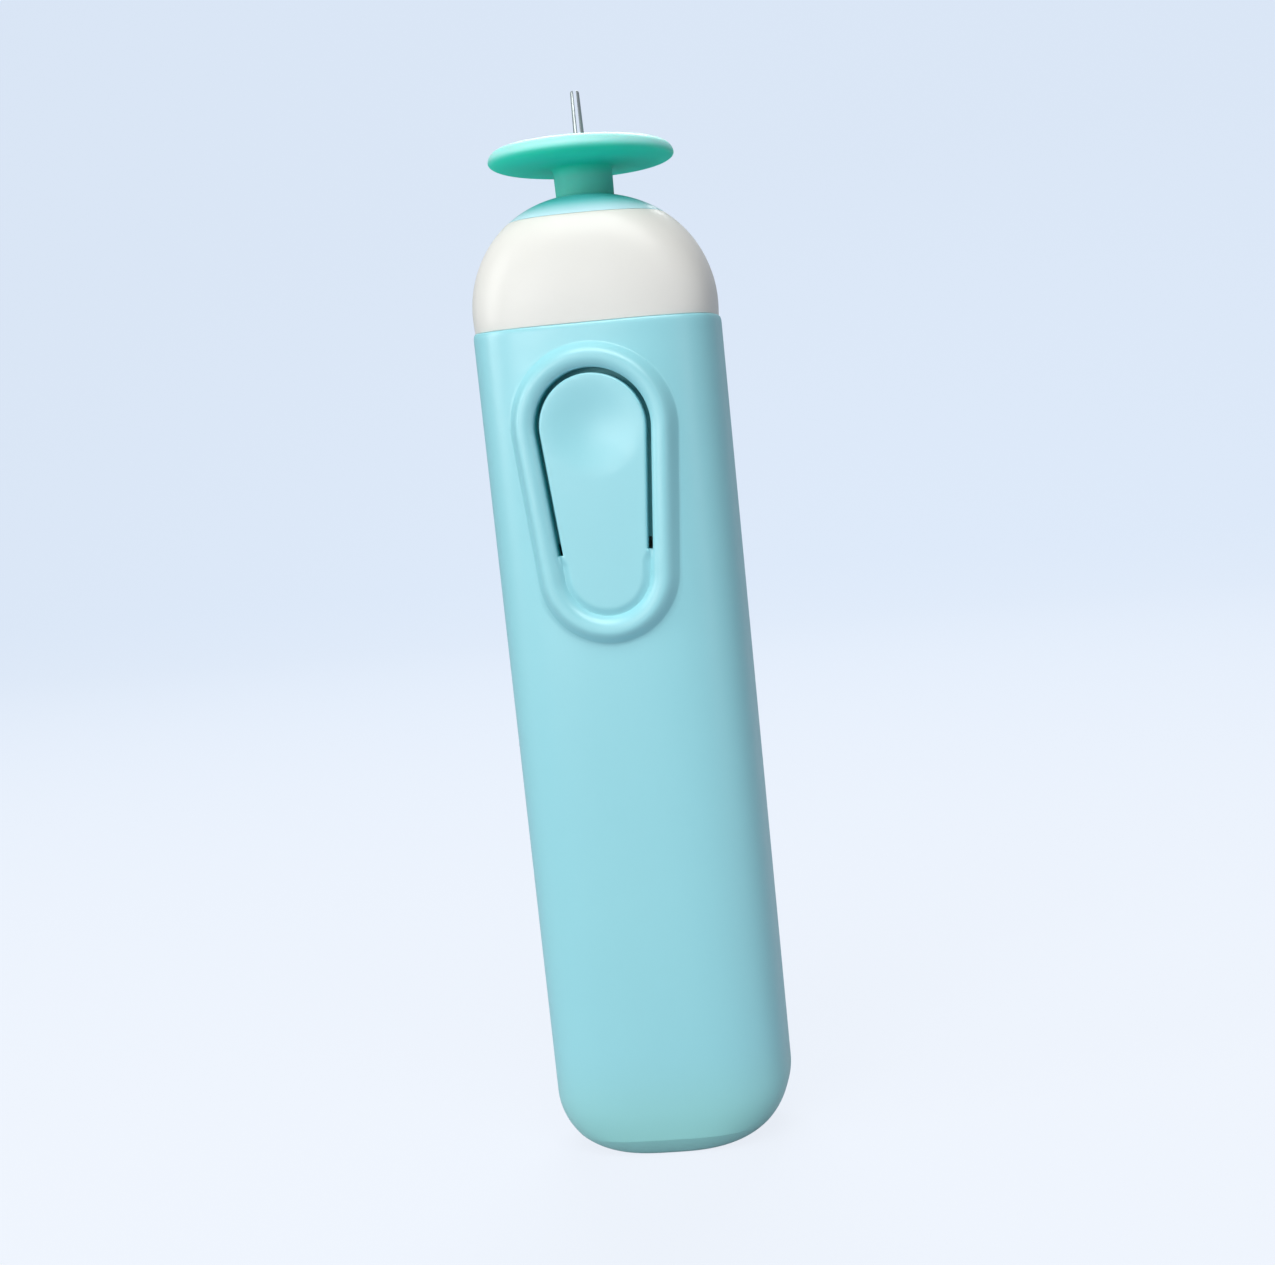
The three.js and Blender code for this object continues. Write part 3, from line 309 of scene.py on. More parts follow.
def keyhole(share, offset):
    """The button's outline moved outwards: two arcs joined by their tangents, from the top clockwise as
    seen from the front. Share runs from 0 to 1 by arc length along the middle line of the slot."""
    lean = math.asin((TOP_RADIUS - FOOT_RADIUS) / (TOP_Z - FOOT_Z))
    side = (TOP_Z - FOOT_Z) * math.cos(lean)
    top = TOP_RADIUS * (math.pi / 2 + lean)
    foot = FOOT_RADIUS * (math.pi / 2 - lean)
    half = top + side + foot
    hand = np.where(share < 0.5, 1.0, -1.0)
    along = np.where(share < 0.5, share, 1 - share) * 2 * half
    on_top = along <= top
    on_side = (along > top) & (along <= top + side)
    angle = np.where(on_top, along / TOP_RADIUS, math.pi / 2 + lean)
    angle = np.where(along > top + side, angle + (along - top - side) / FOOT_RADIUS, angle)
    centre = np.where(on_top | on_side, TOP_Z, FOOT_Z)
    radius = np.where(on_top | on_side, TOP_RADIUS, FOOT_RADIUS) + offset
    slide = np.where(on_side, along - top, 0.0)
    x = radius * np.sin(angle) - slide * math.sin(lean)
    z = centre + radius * np.cos(angle) - slide * math.cos(lean)
    return hand * x, z


def hinge_shares():
    """Shares spread evenly round the keyhole, one for each point of the panel's edge, with two on each
    side moved to just above and just below the line that the button bends on, so that the slot's ends
    are cut square."""
    count = 2 * (PANEL_COLUMNS + PANEL_ROWS)
    share = np.arange(count) / count
    _, z = keyhole(share, 0.0)
    nudge = 0.03
    fine = np.linspace(0, 0.5, 20001)
    _, fine_z = keyhole(fine, 0.0)
    for sign, below in ((1, False), (-1, True)):
        target = fine[np.argmin(np.abs(fine_z - (HINGE_Z + sign * nudge)))]
        half = np.arange(count // 2)
        half = half[(z[half] < HINGE_Z) == below]
        nearest = half[np.argmin(np.abs(share[half] - target))]
        share[nearest] = target
        share[(count - nearest) % count] = 1 - target
    return share


def below_bend(z):
    """0 down to the line that the button bends on and 1 from the groove's run below it, eased between."""
    return eased(np.clip((HINGE_Z - z) / GROOVE_RUN, 0, 1))


def bead_height(t, soft):
    """The bead across its width, from 0 at the slot to 1 at the crest and back to 0 at its foot. The
    inner flank is steep beside the slot, (1 - s^2.4)^0.75, and softer below it, (1 - s^2.8)^1.1. The outer
    one has a hollow at its foot, (1 - s^2.2)^1.5."""
    steep = np.clip((CREST - t) / (CREST - SLOT), 0, 1)
    gentle = np.clip((CREST - t) / CREST, 0, 1)
    outer = np.clip((t - CREST) / (BEAD_OUT - CREST), 0, 1)
    inner = (1 - soft) * (1 - steep ** 2.4) ** 0.75 + soft * (1 - gentle ** 2.8) ** 1.1
    return np.where(t < CREST, inner, (1 - outer ** 2.2) ** 1.5)


def bead_surface(x, z, t):
    """The front surface from the sleeve over the bead to the slot's lip. The crest lies almost flat and
    follows a quarter of the sleeve's curve. Inside it the surface falls to just under the pad's level."""
    body = sleeve_front(x, z)
    crest = BEAD_Y + 0.25 * (body + MOUTH_DEPTH)
    soft = below_bend(z)
    lip = 0.1
    base = np.where(t < CREST, PAD_Y + lip + (GROOVE - lip) * soft, body)
    return base + (crest - base) * bead_height(t, soft)


def sleeve_heights():
    """Heights of the outer rows: the foot by equal turns of its corner, with three rows at its crisp
    edge, then the sides, the panel that holds the bead, and up to the rounded rim. The panel's rows are
    given by their first and last numbers."""
    foot = FOOT_CORNER * (1 - np.cos(quarter(40)))
    foot = np.sort(np.append(foot, np.array([0.96, 1.0, 1.04]) * FOOT_EDGE_RISE))
    sides = np.linspace(FOOT_CORNER, PANEL_LOW, 18)[1:-1]
    panel = np.linspace(PANEL_LOW, PANEL_HIGH, PANEL_ROWS + 1)
    above = np.linspace(PANEL_HIGH, SEAM_Z - RIM, 3)[1:]
    first = len(foot) + len(sides)
    return np.concatenate([foot, sides, panel, above]), first, first + PANEL_ROWS


def sleeve_turns():
    """Angles of the columns: those across the front panel give equal steps in x, and the rest go round
    the sides and back in equal turns."""
    half_width, _ = sleeve_section(TOP_Z)
    x = np.linspace(-PANEL_HALF, PANEL_HALF, PANEL_COLUMNS + 1) / half_width
    front = -np.arccos(np.sign(x) * np.abs(x) ** (ROUND / 2))
    rest = np.linspace(front[-1], front[0] + 2 * np.pi, 190)[1:-1]
    return np.concatenate([front, rest])


def panel_loop(columns, bottom, top):
    """The panel's edge as numbers of grid points, clockwise as seen from the front from the top middle,
    from the numbers of its bottom and top rows."""
    step = 1 if top > bottom else -1
    rows = np.arange(bottom, top + step, step)
    half = PANEL_COLUMNS // 2
    across = np.arange(PANEL_COLUMNS + 1)
    loop = [(top, column) for column in across[half:]]
    loop += [(row, PANEL_COLUMNS) for row in rows[::-1][1:]]
    loop += [(bottom, column) for column in across[::-1][1:]]
    loop += [(row, 0) for row in rows[1:]]
    loop += [(top, column) for column in across[1:half]]
    return np.array(loop) @ [columns, 1]


def ring_between(outer, inner, steps):
    """Rows of points that run straight from an outer loop to an inner one, both ends left out."""
    t = np.linspace(0, 1, steps + 1)[1:-1, None, None]
    return (1 - t) * outer + t * inner


def sleeve_wall(turns, heights, inset):
    """A grid of superellipses, one at each height, with the sleeve's half width and half depth there."""
    half_width, half_depth = sleeve_section(heights, inset)
    x, y = superellipse(turns, half_width[:, None], half_depth[:, None], ROUND)
    return points_of(x, y, heights[:, None])


def inward(rings, loss):
    """Rings of points moved towards the pen's axis, each by a distance of its own."""
    share = 1 - loss[:, None] / np.hypot(rings[..., 0], rings[..., 1])
    return rings * points_of(share, share, 1.0)


def closing_rows(ring, count):
    """Rings shrinking to one point, in the plane of the given ring."""
    share = np.linspace(1, 0, count + 1)[1:]
    middle = np.array([0.0, 0.0, ring[0, 2]])
    return middle + (ring - middle)[None] * share[:, None, None]


def sleeve_shell(material):
    """The sleeve with its bead ring, open mouth and U-slot. Outer and inner walls are grids of
    superellipses; the front of each leaves a panel out, which rings of points round the keyhole fill."""
    turns = sleeve_turns()
    columns = len(turns)
    heights, first, last = sleeve_heights()
    outer = sleeve_wall(turns, heights, 0.0)
    bend = quarter(7)[1:]
    rim = sleeve_wall(turns, SEAM_Z - RIM * (1 - np.sin(bend)), 0.0)
    rim = inward(rim, RIM_LOSS * (1 - np.cos(bend)))
    lip = sleeve_wall(turns, np.array([SEAM_Z]), WALL - INNER_RIM)
    inner = sleeve_wall(turns, np.concatenate([
        [SEAM_Z - INNER_RIM], heights[first:last + 1][::-1],
        np.linspace(PANEL_LOW, FOOT_CORNER, 7)[1:], np.linspace(FOOT_CORNER, FLOOR, 9)[1:],
    ]), WALL)
    foot_pole = closing_rows(outer[0], 4)[::-1]
    floor_pole = closing_rows(inner[-1], 4)
    grid = np.concatenate([foot_pole, outer, rim, lip, inner, floor_pole])

    outer_low, outer_high = first + len(foot_pole), last + len(foot_pole)
    inner_high = len(foot_pole) + len(outer) + len(rim) + len(lip) + 1
    inner_low = inner_high + PANEL_ROWS

    def panel(row, column):
        in_outer = (row >= outer_low) & (row < outer_high)
        in_inner = (row >= inner_high) & (row < inner_low)
        return (column < PANEL_COLUMNS) & (in_outer | in_inner)

    quads = grid_quads(len(grid), columns, False, True, panel)
    points = grid.reshape(-1, 3)
    outer_loop = panel_loop(columns, outer_low, outer_high)
    inner_loop = panel_loop(columns, inner_low, inner_high)
    rings = panel_rings(points[outer_loop], points[inner_loop])
    between = len(points) + np.arange(rings.size // 3).reshape(len(rings), -1)
    here = np.concatenate([outer_loop[None], between, inner_loop[None]])
    ahead = np.roll(here, -1, 1)
    fill = np.stack([here[:-1], ahead[:-1], ahead[1:], here[1:]], -1).reshape(-1, 4)
    points = np.concatenate([points, rings.reshape(-1, 3)])
    obj = mesh_object("sleeve_shell", points, np.concatenate([quads, fill]))
    tidy(obj, 38)
    dress(obj, material, "sleeve", ["body_sleeve"])


def slot_edge(share, above, below):
    """A distance from the slot's middle line: one above the bend line, and another below it."""
    _, z = keyhole(share, 0.0)
    return np.where(z > HINGE_Z, above, below)


def panel_rings(outer, inner):
    """Rings from the outer panel edge to the bead's foot, over the bead to the slot, through the wall,
    and back to the inner panel edge."""
    share = hinge_shares()
    x, z = keyhole(share, BEAD_OUT)
    skirt = ring_between(outer, points_of(x, sleeve_front(x, z), z), 9)
    skirt[..., 1] = sleeve_front(skirt[..., 0], skirt[..., 2])

    edge = slot_edge(share, SLOT, 0.0)
    even = np.linspace(0, 1, 31)
    across = 0.5 * (1 - np.cos(np.pi * even)) / 2 + 0.5 * even
    t = BEAD_OUT + (edge - BEAD_OUT) * across[:, None]
    x, z = keyhole(np.broadcast_to(share, t.shape), t)
    bead = points_of(x, bead_surface(x, z, t), z)

    x, z = keyhole(share, edge)
    lip_y, back_y = bead[-1, :, 1], sleeve_front(x, z, WALL)
    depth = np.linspace(0, 1, 6)[1:, None]
    through = points_of(x, lip_y + (back_y - lip_y) * depth, z)

    back = ring_between(through[-1], inner, 8)
    back[..., 1] = sleeve_front(back[..., 0], back[..., 2], WALL)
    return np.concatenate([skirt, bead, through, back])


def pad_level(x, z):
    """The pad's flat face with a soft round dimple, of depth (1 - (r/R)^2)^2."""
    reach = np.hypot(x, z - TOP_Z) / DIMPLE_RADIUS
    return PAD_Y + DIMPLE_DEPTH * np.clip(1 - reach ** 2, 0, 1) ** 2


def button_pad(material):
    """The button's tongue with the pad below it: rings inside the keyhole, flat with a dimple in front,
    round at the edge and flat behind. Above the bend line its edge clears the slot; below, it meets the
    sleeve in a soft groove."""
    share = hinge_shares()
    edge = slot_edge(share, -SLOT, 0.03)
    soft = below_bend(keyhole(share, 0.0)[1])
    width = slot_edge(share, PAD_EDGE, 0.655) + 0.5 * soft
    turn = quarter(9)[:, None]
    round_drop = PAD_EDGE * (1 - np.cos(turn))
    soft_drop = GROOVE * eased(np.sin(turn))
    x, z = keyhole(np.broadcast_to(share, (len(turn), len(share))), edge - width * (1 - np.sin(turn)))
    rim = points_of(x, pad_level(x, z) + round_drop + (soft_drop - round_drop) * soft, z)

    middle_z = 0.5 * (TOP_Z + FOOT_Z)
    size = np.linspace(0, 1, 42)[:-1, None]
    x, z = rim[0, :, 0] * size, middle_z + (rim[0, :, 2] - middle_z) * size
    face = points_of(x, pad_level(x, z), z)

    x, z = keyhole(share, edge)
    size = np.array([1.0, 0.5, 0.0])[:, None]
    back = points_of(x * size, PAD_Y + PAD_THICK, middle_z + (z - middle_z) * size)
    obj = skin("button_pad", np.concatenate([face, rim, back]))
    tidy(obj, 60)
    dress(obj, material, None, ["power_button"])
    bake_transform(obj)


def button_plunger(material):
    """A round peg behind the button, with a rounded tip, that reaches back to the switch leaf."""
    root, tip = PAD_Y + PAD_THICK - 0.15, BUTTON_HIGH[1]
    profile = [[0, root], [PLUNGER_RADIUS, root], [PLUNGER_RADIUS, tip], [0, tip]]
    obj = lathe("button_plunger", rounded(profile, [0, 0, 0.35, 0], 5), 48)
    turn = Matrix.Rotation(-math.pi / 2, 4, "X")
    obj.data.transform(Matrix.Translation((0, 0, PLUNGER_Z * MM)) @ turn)
    tidy(obj, 40)
    dress(obj, material, "button")


# --- Cap, nose, winding head ---


def cap_section(z, inset=0.0):
    """Half width, half depth and power at height z. The arch in front view is (h/r)^n + (w/r)^n = 1. The
    depth stays full until near the top, where the section turns from a rounded box to a circle."""
    radius = CAP_RADIUS - inset
    share = np.minimum(1, np.maximum(0, z - ARCH_Z) / radius)
    half_width = radius * (1 - share ** ARCH_POWER) ** (1 / ARCH_POWER)
    half_depth = (CAP_DEPTH - inset) * (1 - share ** CAP_ROUND) ** (1 / CAP_ROUND)
    return half_width, half_depth, ROUND - ROUND_FALL * share


def cap_rows(heights, inset=0.0, loss=0.0):
    """Rows of the cap's section at some heights, each made smaller by its own loss. Outside, the cap
    draws in towards the sleeve's rim as a square of the height above it."""
    half_width, half_depth, power = cap_section(heights, inset)
    if inset == 0:
        loss = loss + RIM_LOSS * np.maximum(0, 1 - (heights - SEAM_Z) / RIM_EASE_RISE) ** 2
    return np.stack([heights, half_width - loss, half_depth - loss, power], 1)


def cap_shell(material):
    """The cap as one closed skin of superellipses: outside, mouth, hollow, skirt, and the ledge that
    sits on the sleeve's rim."""
    low, edge, ledge, mouth_low = SEAM_Z + SEAM_GAP, 0.08, SEAM_Z + 1.3, NOSE_Z - 1.55
    bend = quarter(5)
    foot = cap_rows(low + edge * (1 - np.cos(bend)), 0.0, edge * (1 - np.sin(bend)))
    straight = cap_rows(np.array([low + 0.3, low + 0.6, ARCH_Z]))
    top_turn = math.asin((NOSE_Z - 0.06 - ARCH_Z) / CAP_RADIUS)
    arch = cap_rows(ARCH_Z + CAP_RADIUS * np.sin(np.linspace(0, top_turn, 46)[1:]))
    last = cap_rows(np.array([NOSE_Z]), 0.0, 0.06)
    mouth = [[z, CAP_MOUTH_RADIUS, CAP_MOUTH_RADIUS, 2.0] for z in (NOSE_Z, mouth_low)]
    hollow = cap_rows(np.linspace(mouth_low, ledge, 8), WALL)
    skirt = [
        [z, MOUTH_WIDTH - WALL - SKIRT_GAP - loss, MOUTH_DEPTH - WALL - SKIRT_GAP - loss, ROUND]
        for z, loss in (
            (SEAM_Z + 0.4, SKIRT_WALL), (CAP_LOW[2], SKIRT_WALL), (CAP_LOW[2], 0.3),
            (CAP_LOW[2] + 0.3, 0), (low, 0),
        )
    ]
    z, width, depth, power = np.concatenate([foot, straight, arch, last, mouth, hollow, skirt]).T[..., None]
    x, y = superellipse(around(240), width, depth, power)
    obj = skin("cap_shell", points_of(x, y, z), True)
    tidy(obj, 40)
    dress(obj, material, "chassis", ["shoulder_cap"])


def section_reach(z, turn):
    """The distance from the axis to the cap's surface at height z in a direction: the superellipse in
    polar form, (|cos t / a|^n + |sin t / b|^n)^(-1/n)."""
    half_width, half_depth, power = cap_section(z)
    half_width, half_depth = np.maximum(half_width, 1e-4), np.maximum(half_depth, 1e-4)
    sum_of_powers = np.abs(np.cos(turn) / half_width) ** power + np.abs(np.sin(turn) / half_depth) ** power
    return sum_of_powers ** (-1 / power)


def dome_height(reach, turn):
    """The height at which the cap's surface is a given distance from the axis, by halving steps."""
    low = np.full(np.broadcast(reach, turn).shape, NOSE_Z - 1.0)
    high = np.full(low.shape, DOME_Z - 1e-6)
    for _ in range(40):
        middle = 0.5 * (low + high)
        outside = section_reach(middle, turn) > reach
        low = np.where(outside, middle, low)
        high = np.where(outside, high, middle)
    return 0.5 * (low + high)


def nose_shell(material):
    """The nose: the top of the cap's dome, with a round recess for the hub and a spigot below."""
    turn = around(180)
    low, bore, spigot = NOSE_Z + 0.03, 2.7, RECESS_RADIUS + 1.5
    outer = section_reach(low, turn)
    share = np.linspace(0, 1, 26)[:, None]
    reach = outer + (RECESS_RADIUS + 0.16 - outer) * share
    height = dome_height(reach, turn)
    reach[0], height[0] = outer - 0.04, low
    rim = dome_height(RECESS_RADIUS + RECESS_EDGE, turn) - 0.03
    below = [
        (RECESS_RADIUS + RECESS_EDGE, rim), (RECESS_RADIUS, rim - 0.12), (RECESS_RADIUS, NOSE_Z),
        (bore, NOSE_Z), (bore, NOSE_FOOT_Z), (spigot, NOSE_FOOT_Z), (spigot, low),
    ]
    below = np.array([np.broadcast_arrays(turn, *pair)[1:] for pair in below])
    reach = np.concatenate([reach, below[:, 0]])
    height = np.concatenate([height, below[:, 1]])
    obj = skin("nose_shell", points_of(reach * np.cos(turn), reach * np.sin(turn), height), True)
    tidy(obj, 40)
    dress(obj, material, "chassis", ["nose_dome"])


def disc_and_hub(material):
    """The winding disc turned in one with its hub: a thin plate with a flat top, a round rim and a belly
    below, which flows into the hub in a fillet. Fillet, belly and rim are quarters of ellipses."""
    equator, belly_reach, belly, rim_reach = DISC_Z + 0.8, 3.8, 1.22, 2.0
    bore, shank_bore, bore_top = 1.6, 0.82, DISC_TOP - 2.4
    neck, neck_low, fillet_reach, fillet_rise = STEM_RADIUS + 0.1, DISC_Z - 1.0, 0.6, 0.58
    fillet, rise = quarter(8)[1:-1], quarter(18)
    fall = np.linspace(-np.pi / 2, 0, 12)[:-1]
    profile = np.concatenate([
        [[bore, STEM_Z], [STEM_RADIUS - 0.2, STEM_Z], [STEM_RADIUS, STEM_Z + 0.2]],
        [[neck, neck_low - 0.2]],
        np.stack([neck + fillet_reach * (1 - np.cos(fillet)), neck_low + fillet_rise * np.sin(fillet)], 1),
        np.stack([DISC_RADIUS - belly_reach * (1 - np.cos(fall)), equator + belly * np.sin(fall)], 1),
        np.stack([
            DISC_RADIUS - rim_reach * (1 - np.cos(rise)), equator + (DISC_TOP - equator) * np.sin(rise),
        ], 1),
        [[DISC_RADIUS - 2.6, DISC_TOP], [1.3, DISC_TOP], [shank_bore, DISC_TOP - 0.15]],
        [[shank_bore, bore_top], [bore, bore_top]],
    ])
    obj = lathe("disc_and_hub", profile, 160)
    tidy(obj, 40)
    dress(obj, material, "head", ["winding_disc"])


def needle(material):
    """A round shank, and above it two tines that are each a circle cut off by the slot's flat, taper a
    little and end in a rounded tip."""
    shank, tip_radius, half_slot, tip_length, fork_length = 0.72, 0.6, 0.25, 0.35, 6.6
    root, tip = NEEDLE_LOW[2], NEEDLE_HIGH[2]
    fork = tip - fork_length
    profile = [[0, root], [shank, root], [shank, fork - 0.1], [shank - 0.06, fork + 0.15], [0, fork + 0.15]]
    parts = [lathe("slotted_needle_shank", profile, 40)]
    rise, bend = np.linspace(0, 1, 12), quarter(7)[1:]
    height = np.append(fork + (tip - tip_length - fork) * rise, tip - tip_length + tip_length * np.sin(bend))
    end_radius = half_slot + (tip_radius - half_slot) * (0.25 + 0.75 * np.cos(bend))
    radius = np.append(shank + (tip_radius - shank) * rise, end_radius)[:, None]
    swing = np.linspace(-1, 1, 19) * np.arccos(half_slot / radius)
    x = np.append(radius * np.cos(swing), np.full_like(radius, half_slot), 1)
    y = np.append(radius * np.sin(swing), np.zeros_like(radius), 1)
    for hand in (-1, 1):
        ends = [(hand * (half_slot + 0.12), 0.0, height[end]) for end in (0, -1)]
        grid = with_poles(points_of(hand * x, y, height[:, None]), *ends)
        parts.append(skin(f"needle_tine_{hand}", grid))
    bm = bmesh.new()
    for part in parts:
        tidy(part, 40, 0.0005)
        bm.from_mesh(part.data)
        bpy.data.objects.remove(part)
    obj = placed("slotted_needle_steel", bpy.data.meshes.new("slotted_needle_steel"))
    bm.to_mesh(obj.data)
    bm.free()
    obj.data.transform(Matrix.Rotation(NEEDLE_TURN, 4, "Z"))
    dress(obj, material, "head", ["slotted_needle"])


# --- Inside ---


def refined(node, body, material, bevel):
    """A node's own shape as one welded skin: flat faces made whole, edges past an angle bevelled."""
    angle = 30
    obj = placed(node + "_finish", bpy.data.meshes.new(node + "_finish"))
    bm = bmesh.new()
    bm.from_mesh(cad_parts[node].data)
    bmesh.ops.remove_doubles(bm, verts=bm.verts, dist=0.003 * MM)
    bmesh.ops.dissolve_degenerate(bm, edges=bm.edges, dist=0.001 * MM)
    bmesh.ops.dissolve_limit(bm, angle_limit=math.radians(0.6), verts=bm.verts, edges=bm.edges)
    shade(bm, angle)
    bm.to_mesh(obj.data)
    bm.free()
    if bevel > 0:
        edges = obj.modifiers.new("bevel", "BEVEL")
        edges.width = bevel * MM
        edges.segments = 2
        edges.limit_method = "ANGLE"
        edges.angle_limit = math.radians(angle)
        edges.harden_normals = False
    dress(obj, material, body, [node])


def cell(name, node, nub_up, material):
    """A dry cell turned from its profile: a flat end in a rolled-over cover, a straight can, and a
    shoulder, an insulating ring and a nub at the other end."""
    low, high = corners(node)
    radius = 0.5 * (high[0] - low[0])
    length = high[2] - low[2]
    shoulder, ring, nub = length - 1.0, 3.3, 2.7
    profile = [
        [0, 0.12], [radius - 2.2, 0.12], [radius - 2.0, 0], [radius - 0.45, 0], [radius, 0.45],
        [radius, shoulder - 0.35], [radius - 0.45, shoulder], [radius - 1.1, shoulder],
        [radius - 1.3, shoulder - 0.3], [ring, shoulder - 0.3], [ring - 0.2, shoulder],
        [nub, shoulder + 0.1], [nub, length], [0, length],
    ]
    radii = [0, 0.1, 0.1, 0.25, 0.3, 0.3, 0.3, 0.1, 0.1, 0.1, 0.1, 0.1, 0.35, 0]
    profile = rounded(profile, radii, 4)
    if not nub_up:
        profile[:, 1] = length - profile[:, 1]
    profile[:, 1] += low[2]
    obj = lathe(name, profile, 96)
    obj.data.transform(Matrix.Translation((0.5 * (low[0] + high[0]) * MM, 0, 0)))
    tidy(obj, 45)
    dress(obj, material, "chassis", [node])


def coil(name, node, turns, material):
    """A coil spring whose wire's middle lies on a helix, x = R cos t, y = R sin t, z rising with t, with
    end turns that lie flatter. At each point stands a circle square to the wire, whose first axis is the
    last one's with its part along the wire taken away. Both ends are rounded."""
    low, high = corners(node)
    wire = 0.3
    radius = 0.5 * (high[0] - low[0]) - wire
    t = np.linspace(0, 1, int(turns * 40) + 1)
    rise = np.clip((t * turns - 0.5) / (turns - 1.0), 0, 1)
    rise = 0.5 * eased(rise) + 0.5 * rise
    turn = 2 * np.pi * turns * t
    x, y = 0.5 * (low[0] + high[0]) + radius * np.cos(turn), radius * np.sin(turn)
    middle = points_of(x, y, low[2] + wire + (high[2] - low[2] - 2 * wire) * rise)

    tangent = np.gradient(middle, axis=0)
    tangent /= np.linalg.norm(tangent, axis=1)[:, None]
    side = np.empty_like(tangent)
    last = np.cross(tangent[0], [0.0, 0.3, 1.0])
    for i, along in enumerate(tangent):
        last = last - along * (last @ along)
        last = side[i] = last / np.linalg.norm(last)
    size = np.full((len(middle), 1, 1), wire)
    size[[0, -1]] *= 0.8
    turn = around(12)[:, None]
    circle = side[:, None] * np.cos(turn) + np.cross(tangent, side)[:, None] * np.sin(turn)
    obj = skin(name, with_poles(middle[:, None] + circle * size, middle[0], middle[-1]))
    tidy(obj, 60, 0.0005)
    dress(obj, material, "chassis", [node])


# --- Materials ---


def srgb(red, green, blue):
    """A display colour, 0 to 255 a channel, as linear light."""
    value = np.array([red, green, blue]) / 255
    linear = np.where(value <= 0.04045, value / 12.92, ((value + 0.055) / 1.055) ** 2.4)
    return (*linear.tolist(), 1.0)


class Nodes:
    """The node tree of a material or a world, with short calls that add nodes and join them."""

    def __init__(self, owner):
        owner.use_nodes = True
        self.tree = owner.node_tree

    def add(self, kind, links=(), **values):
        """Adds a node, sets its properties and joins its inputs: links are (input, output) pairs."""
        node = self.tree.nodes.new(kind)
        for key, value in values.items():
            setattr(node, key, value)
        for socket, source in links:
            self.join(source, node.inputs[socket])
        return node

    def join(self, source, target):
        """Joins an output to an input, or sets the input to a plain value."""
        if hasattr(source, "is_linked"):
            self.tree.links.new(source, target)
        else:
            target.default_value = source

    def math(self, operation, *values):
        """A number worked out from others by an operation."""
        return self.add("ShaderNodeMath", enumerate(values), operation=operation).outputs[0]

    def ranged(self, value, low, high, to_low=0.0, to_high=1.0, smooth=False):
        """A value's range low..high carried to another range, and held at its ends."""
        return self.add("ShaderNodeMapRange", [
            ("Value", value), ("From Min", low), ("From Max", high), ("To Min", to_low), ("To Max", to_high),
        ], interpolation_type="SMOOTHSTEP" if smooth else "LINEAR").outputs["Result"]

    def mixed(self, share, first, second):
        """Two colours mixed by a share."""
        return self.add("ShaderNodeMix", [(0, share), (6, first), (7, second)], data_type="RGBA").outputs[2]

    def surface(self, share, first, second, output):
        """Sends two shaders, mixed by a share, to the output."""
        mix = self.add("ShaderNodeMixShader", [(0, share), (1, first.outputs[0]), (2, second.outputs[0])])
        self.join(mix.outputs[0], self.tree.nodes[output].inputs["Surface"])


class Finish(Nodes):
    """A material with a Principled shader."""

    def __init__(self, name, roughness=0.4, metallic=0.0):
        self.material = bpy.data.materials.new(name)
        super().__init__(self.material)
        self.shader = self.tree.nodes["Principled BSDF"].inputs
        self.shader["Roughness"].default_value = roughness
        self.shader["Metallic"].default_value = metallic
        self.place = self.add("ShaderNodeTexCoord").outputs["Object"]

    def axes(self):
        """The X, Y and Z of a point in the object, in metres."""
        return self.add("ShaderNodeSeparateXYZ", [("Vector", self.place)]).outputs[:]

    def noise(self, scale, detail=3.0, stretch=None, rough=0.5):
        """Noise of about 1/scale metres, stretched along an axis where asked."""
        place = self.place
        if stretch is not None:
            place = self.add("ShaderNodeMapping", [("Vector", place), ("Scale", stretch)]).outputs[0]
        return self.add("ShaderNodeTexNoise", [
            ("Vector", place), ("Scale", scale), ("Detail", detail), ("Roughness", rough),
        ]).outputs["Fac"]

    def step(self, value, low, high, to_low=0.0, to_high=1.0):
        """A smooth step as a length goes from one number of millimetres to another."""
        return self.ranged(value, low * MM, high * MM, to_low, to_high, True)

    def band(self, value, low, high, edge):
        """1 between two lengths in millimetres and 0 outside, with soft edges."""
        rise = self.ranged(value, (low - edge) * MM, (low + edge) * MM)
        fall = self.ranged(value, (high - edge) * MM, (high + edge) * MM, 1.0, 0.0)
        return self.math("MULTIPLY", rise, fall)

    def bump(self, value, depth):
        """Relief from a value, its depth in millimetres."""
        node = self.add("ShaderNodeBump", [("Height", value), ("Distance", depth * MM)])
        self.join(node.outputs["Normal"], self.shader["Normal"])

    def colour(self, value):
        """Sets the surface's colour."""
        self.join(value, self.shader["Base Color"])

    def tint(self, mask, colour):
        """Lays a colour over the one so far, where a mask is 1."""
        so_far = self.shader["Base Color"].links[0].from_socket
        self.colour(self.mixed(mask, so_far, colour))

    def roughness(self, value):
        """Sets the surface's roughness."""
        self.join(value, self.shader["Roughness"])


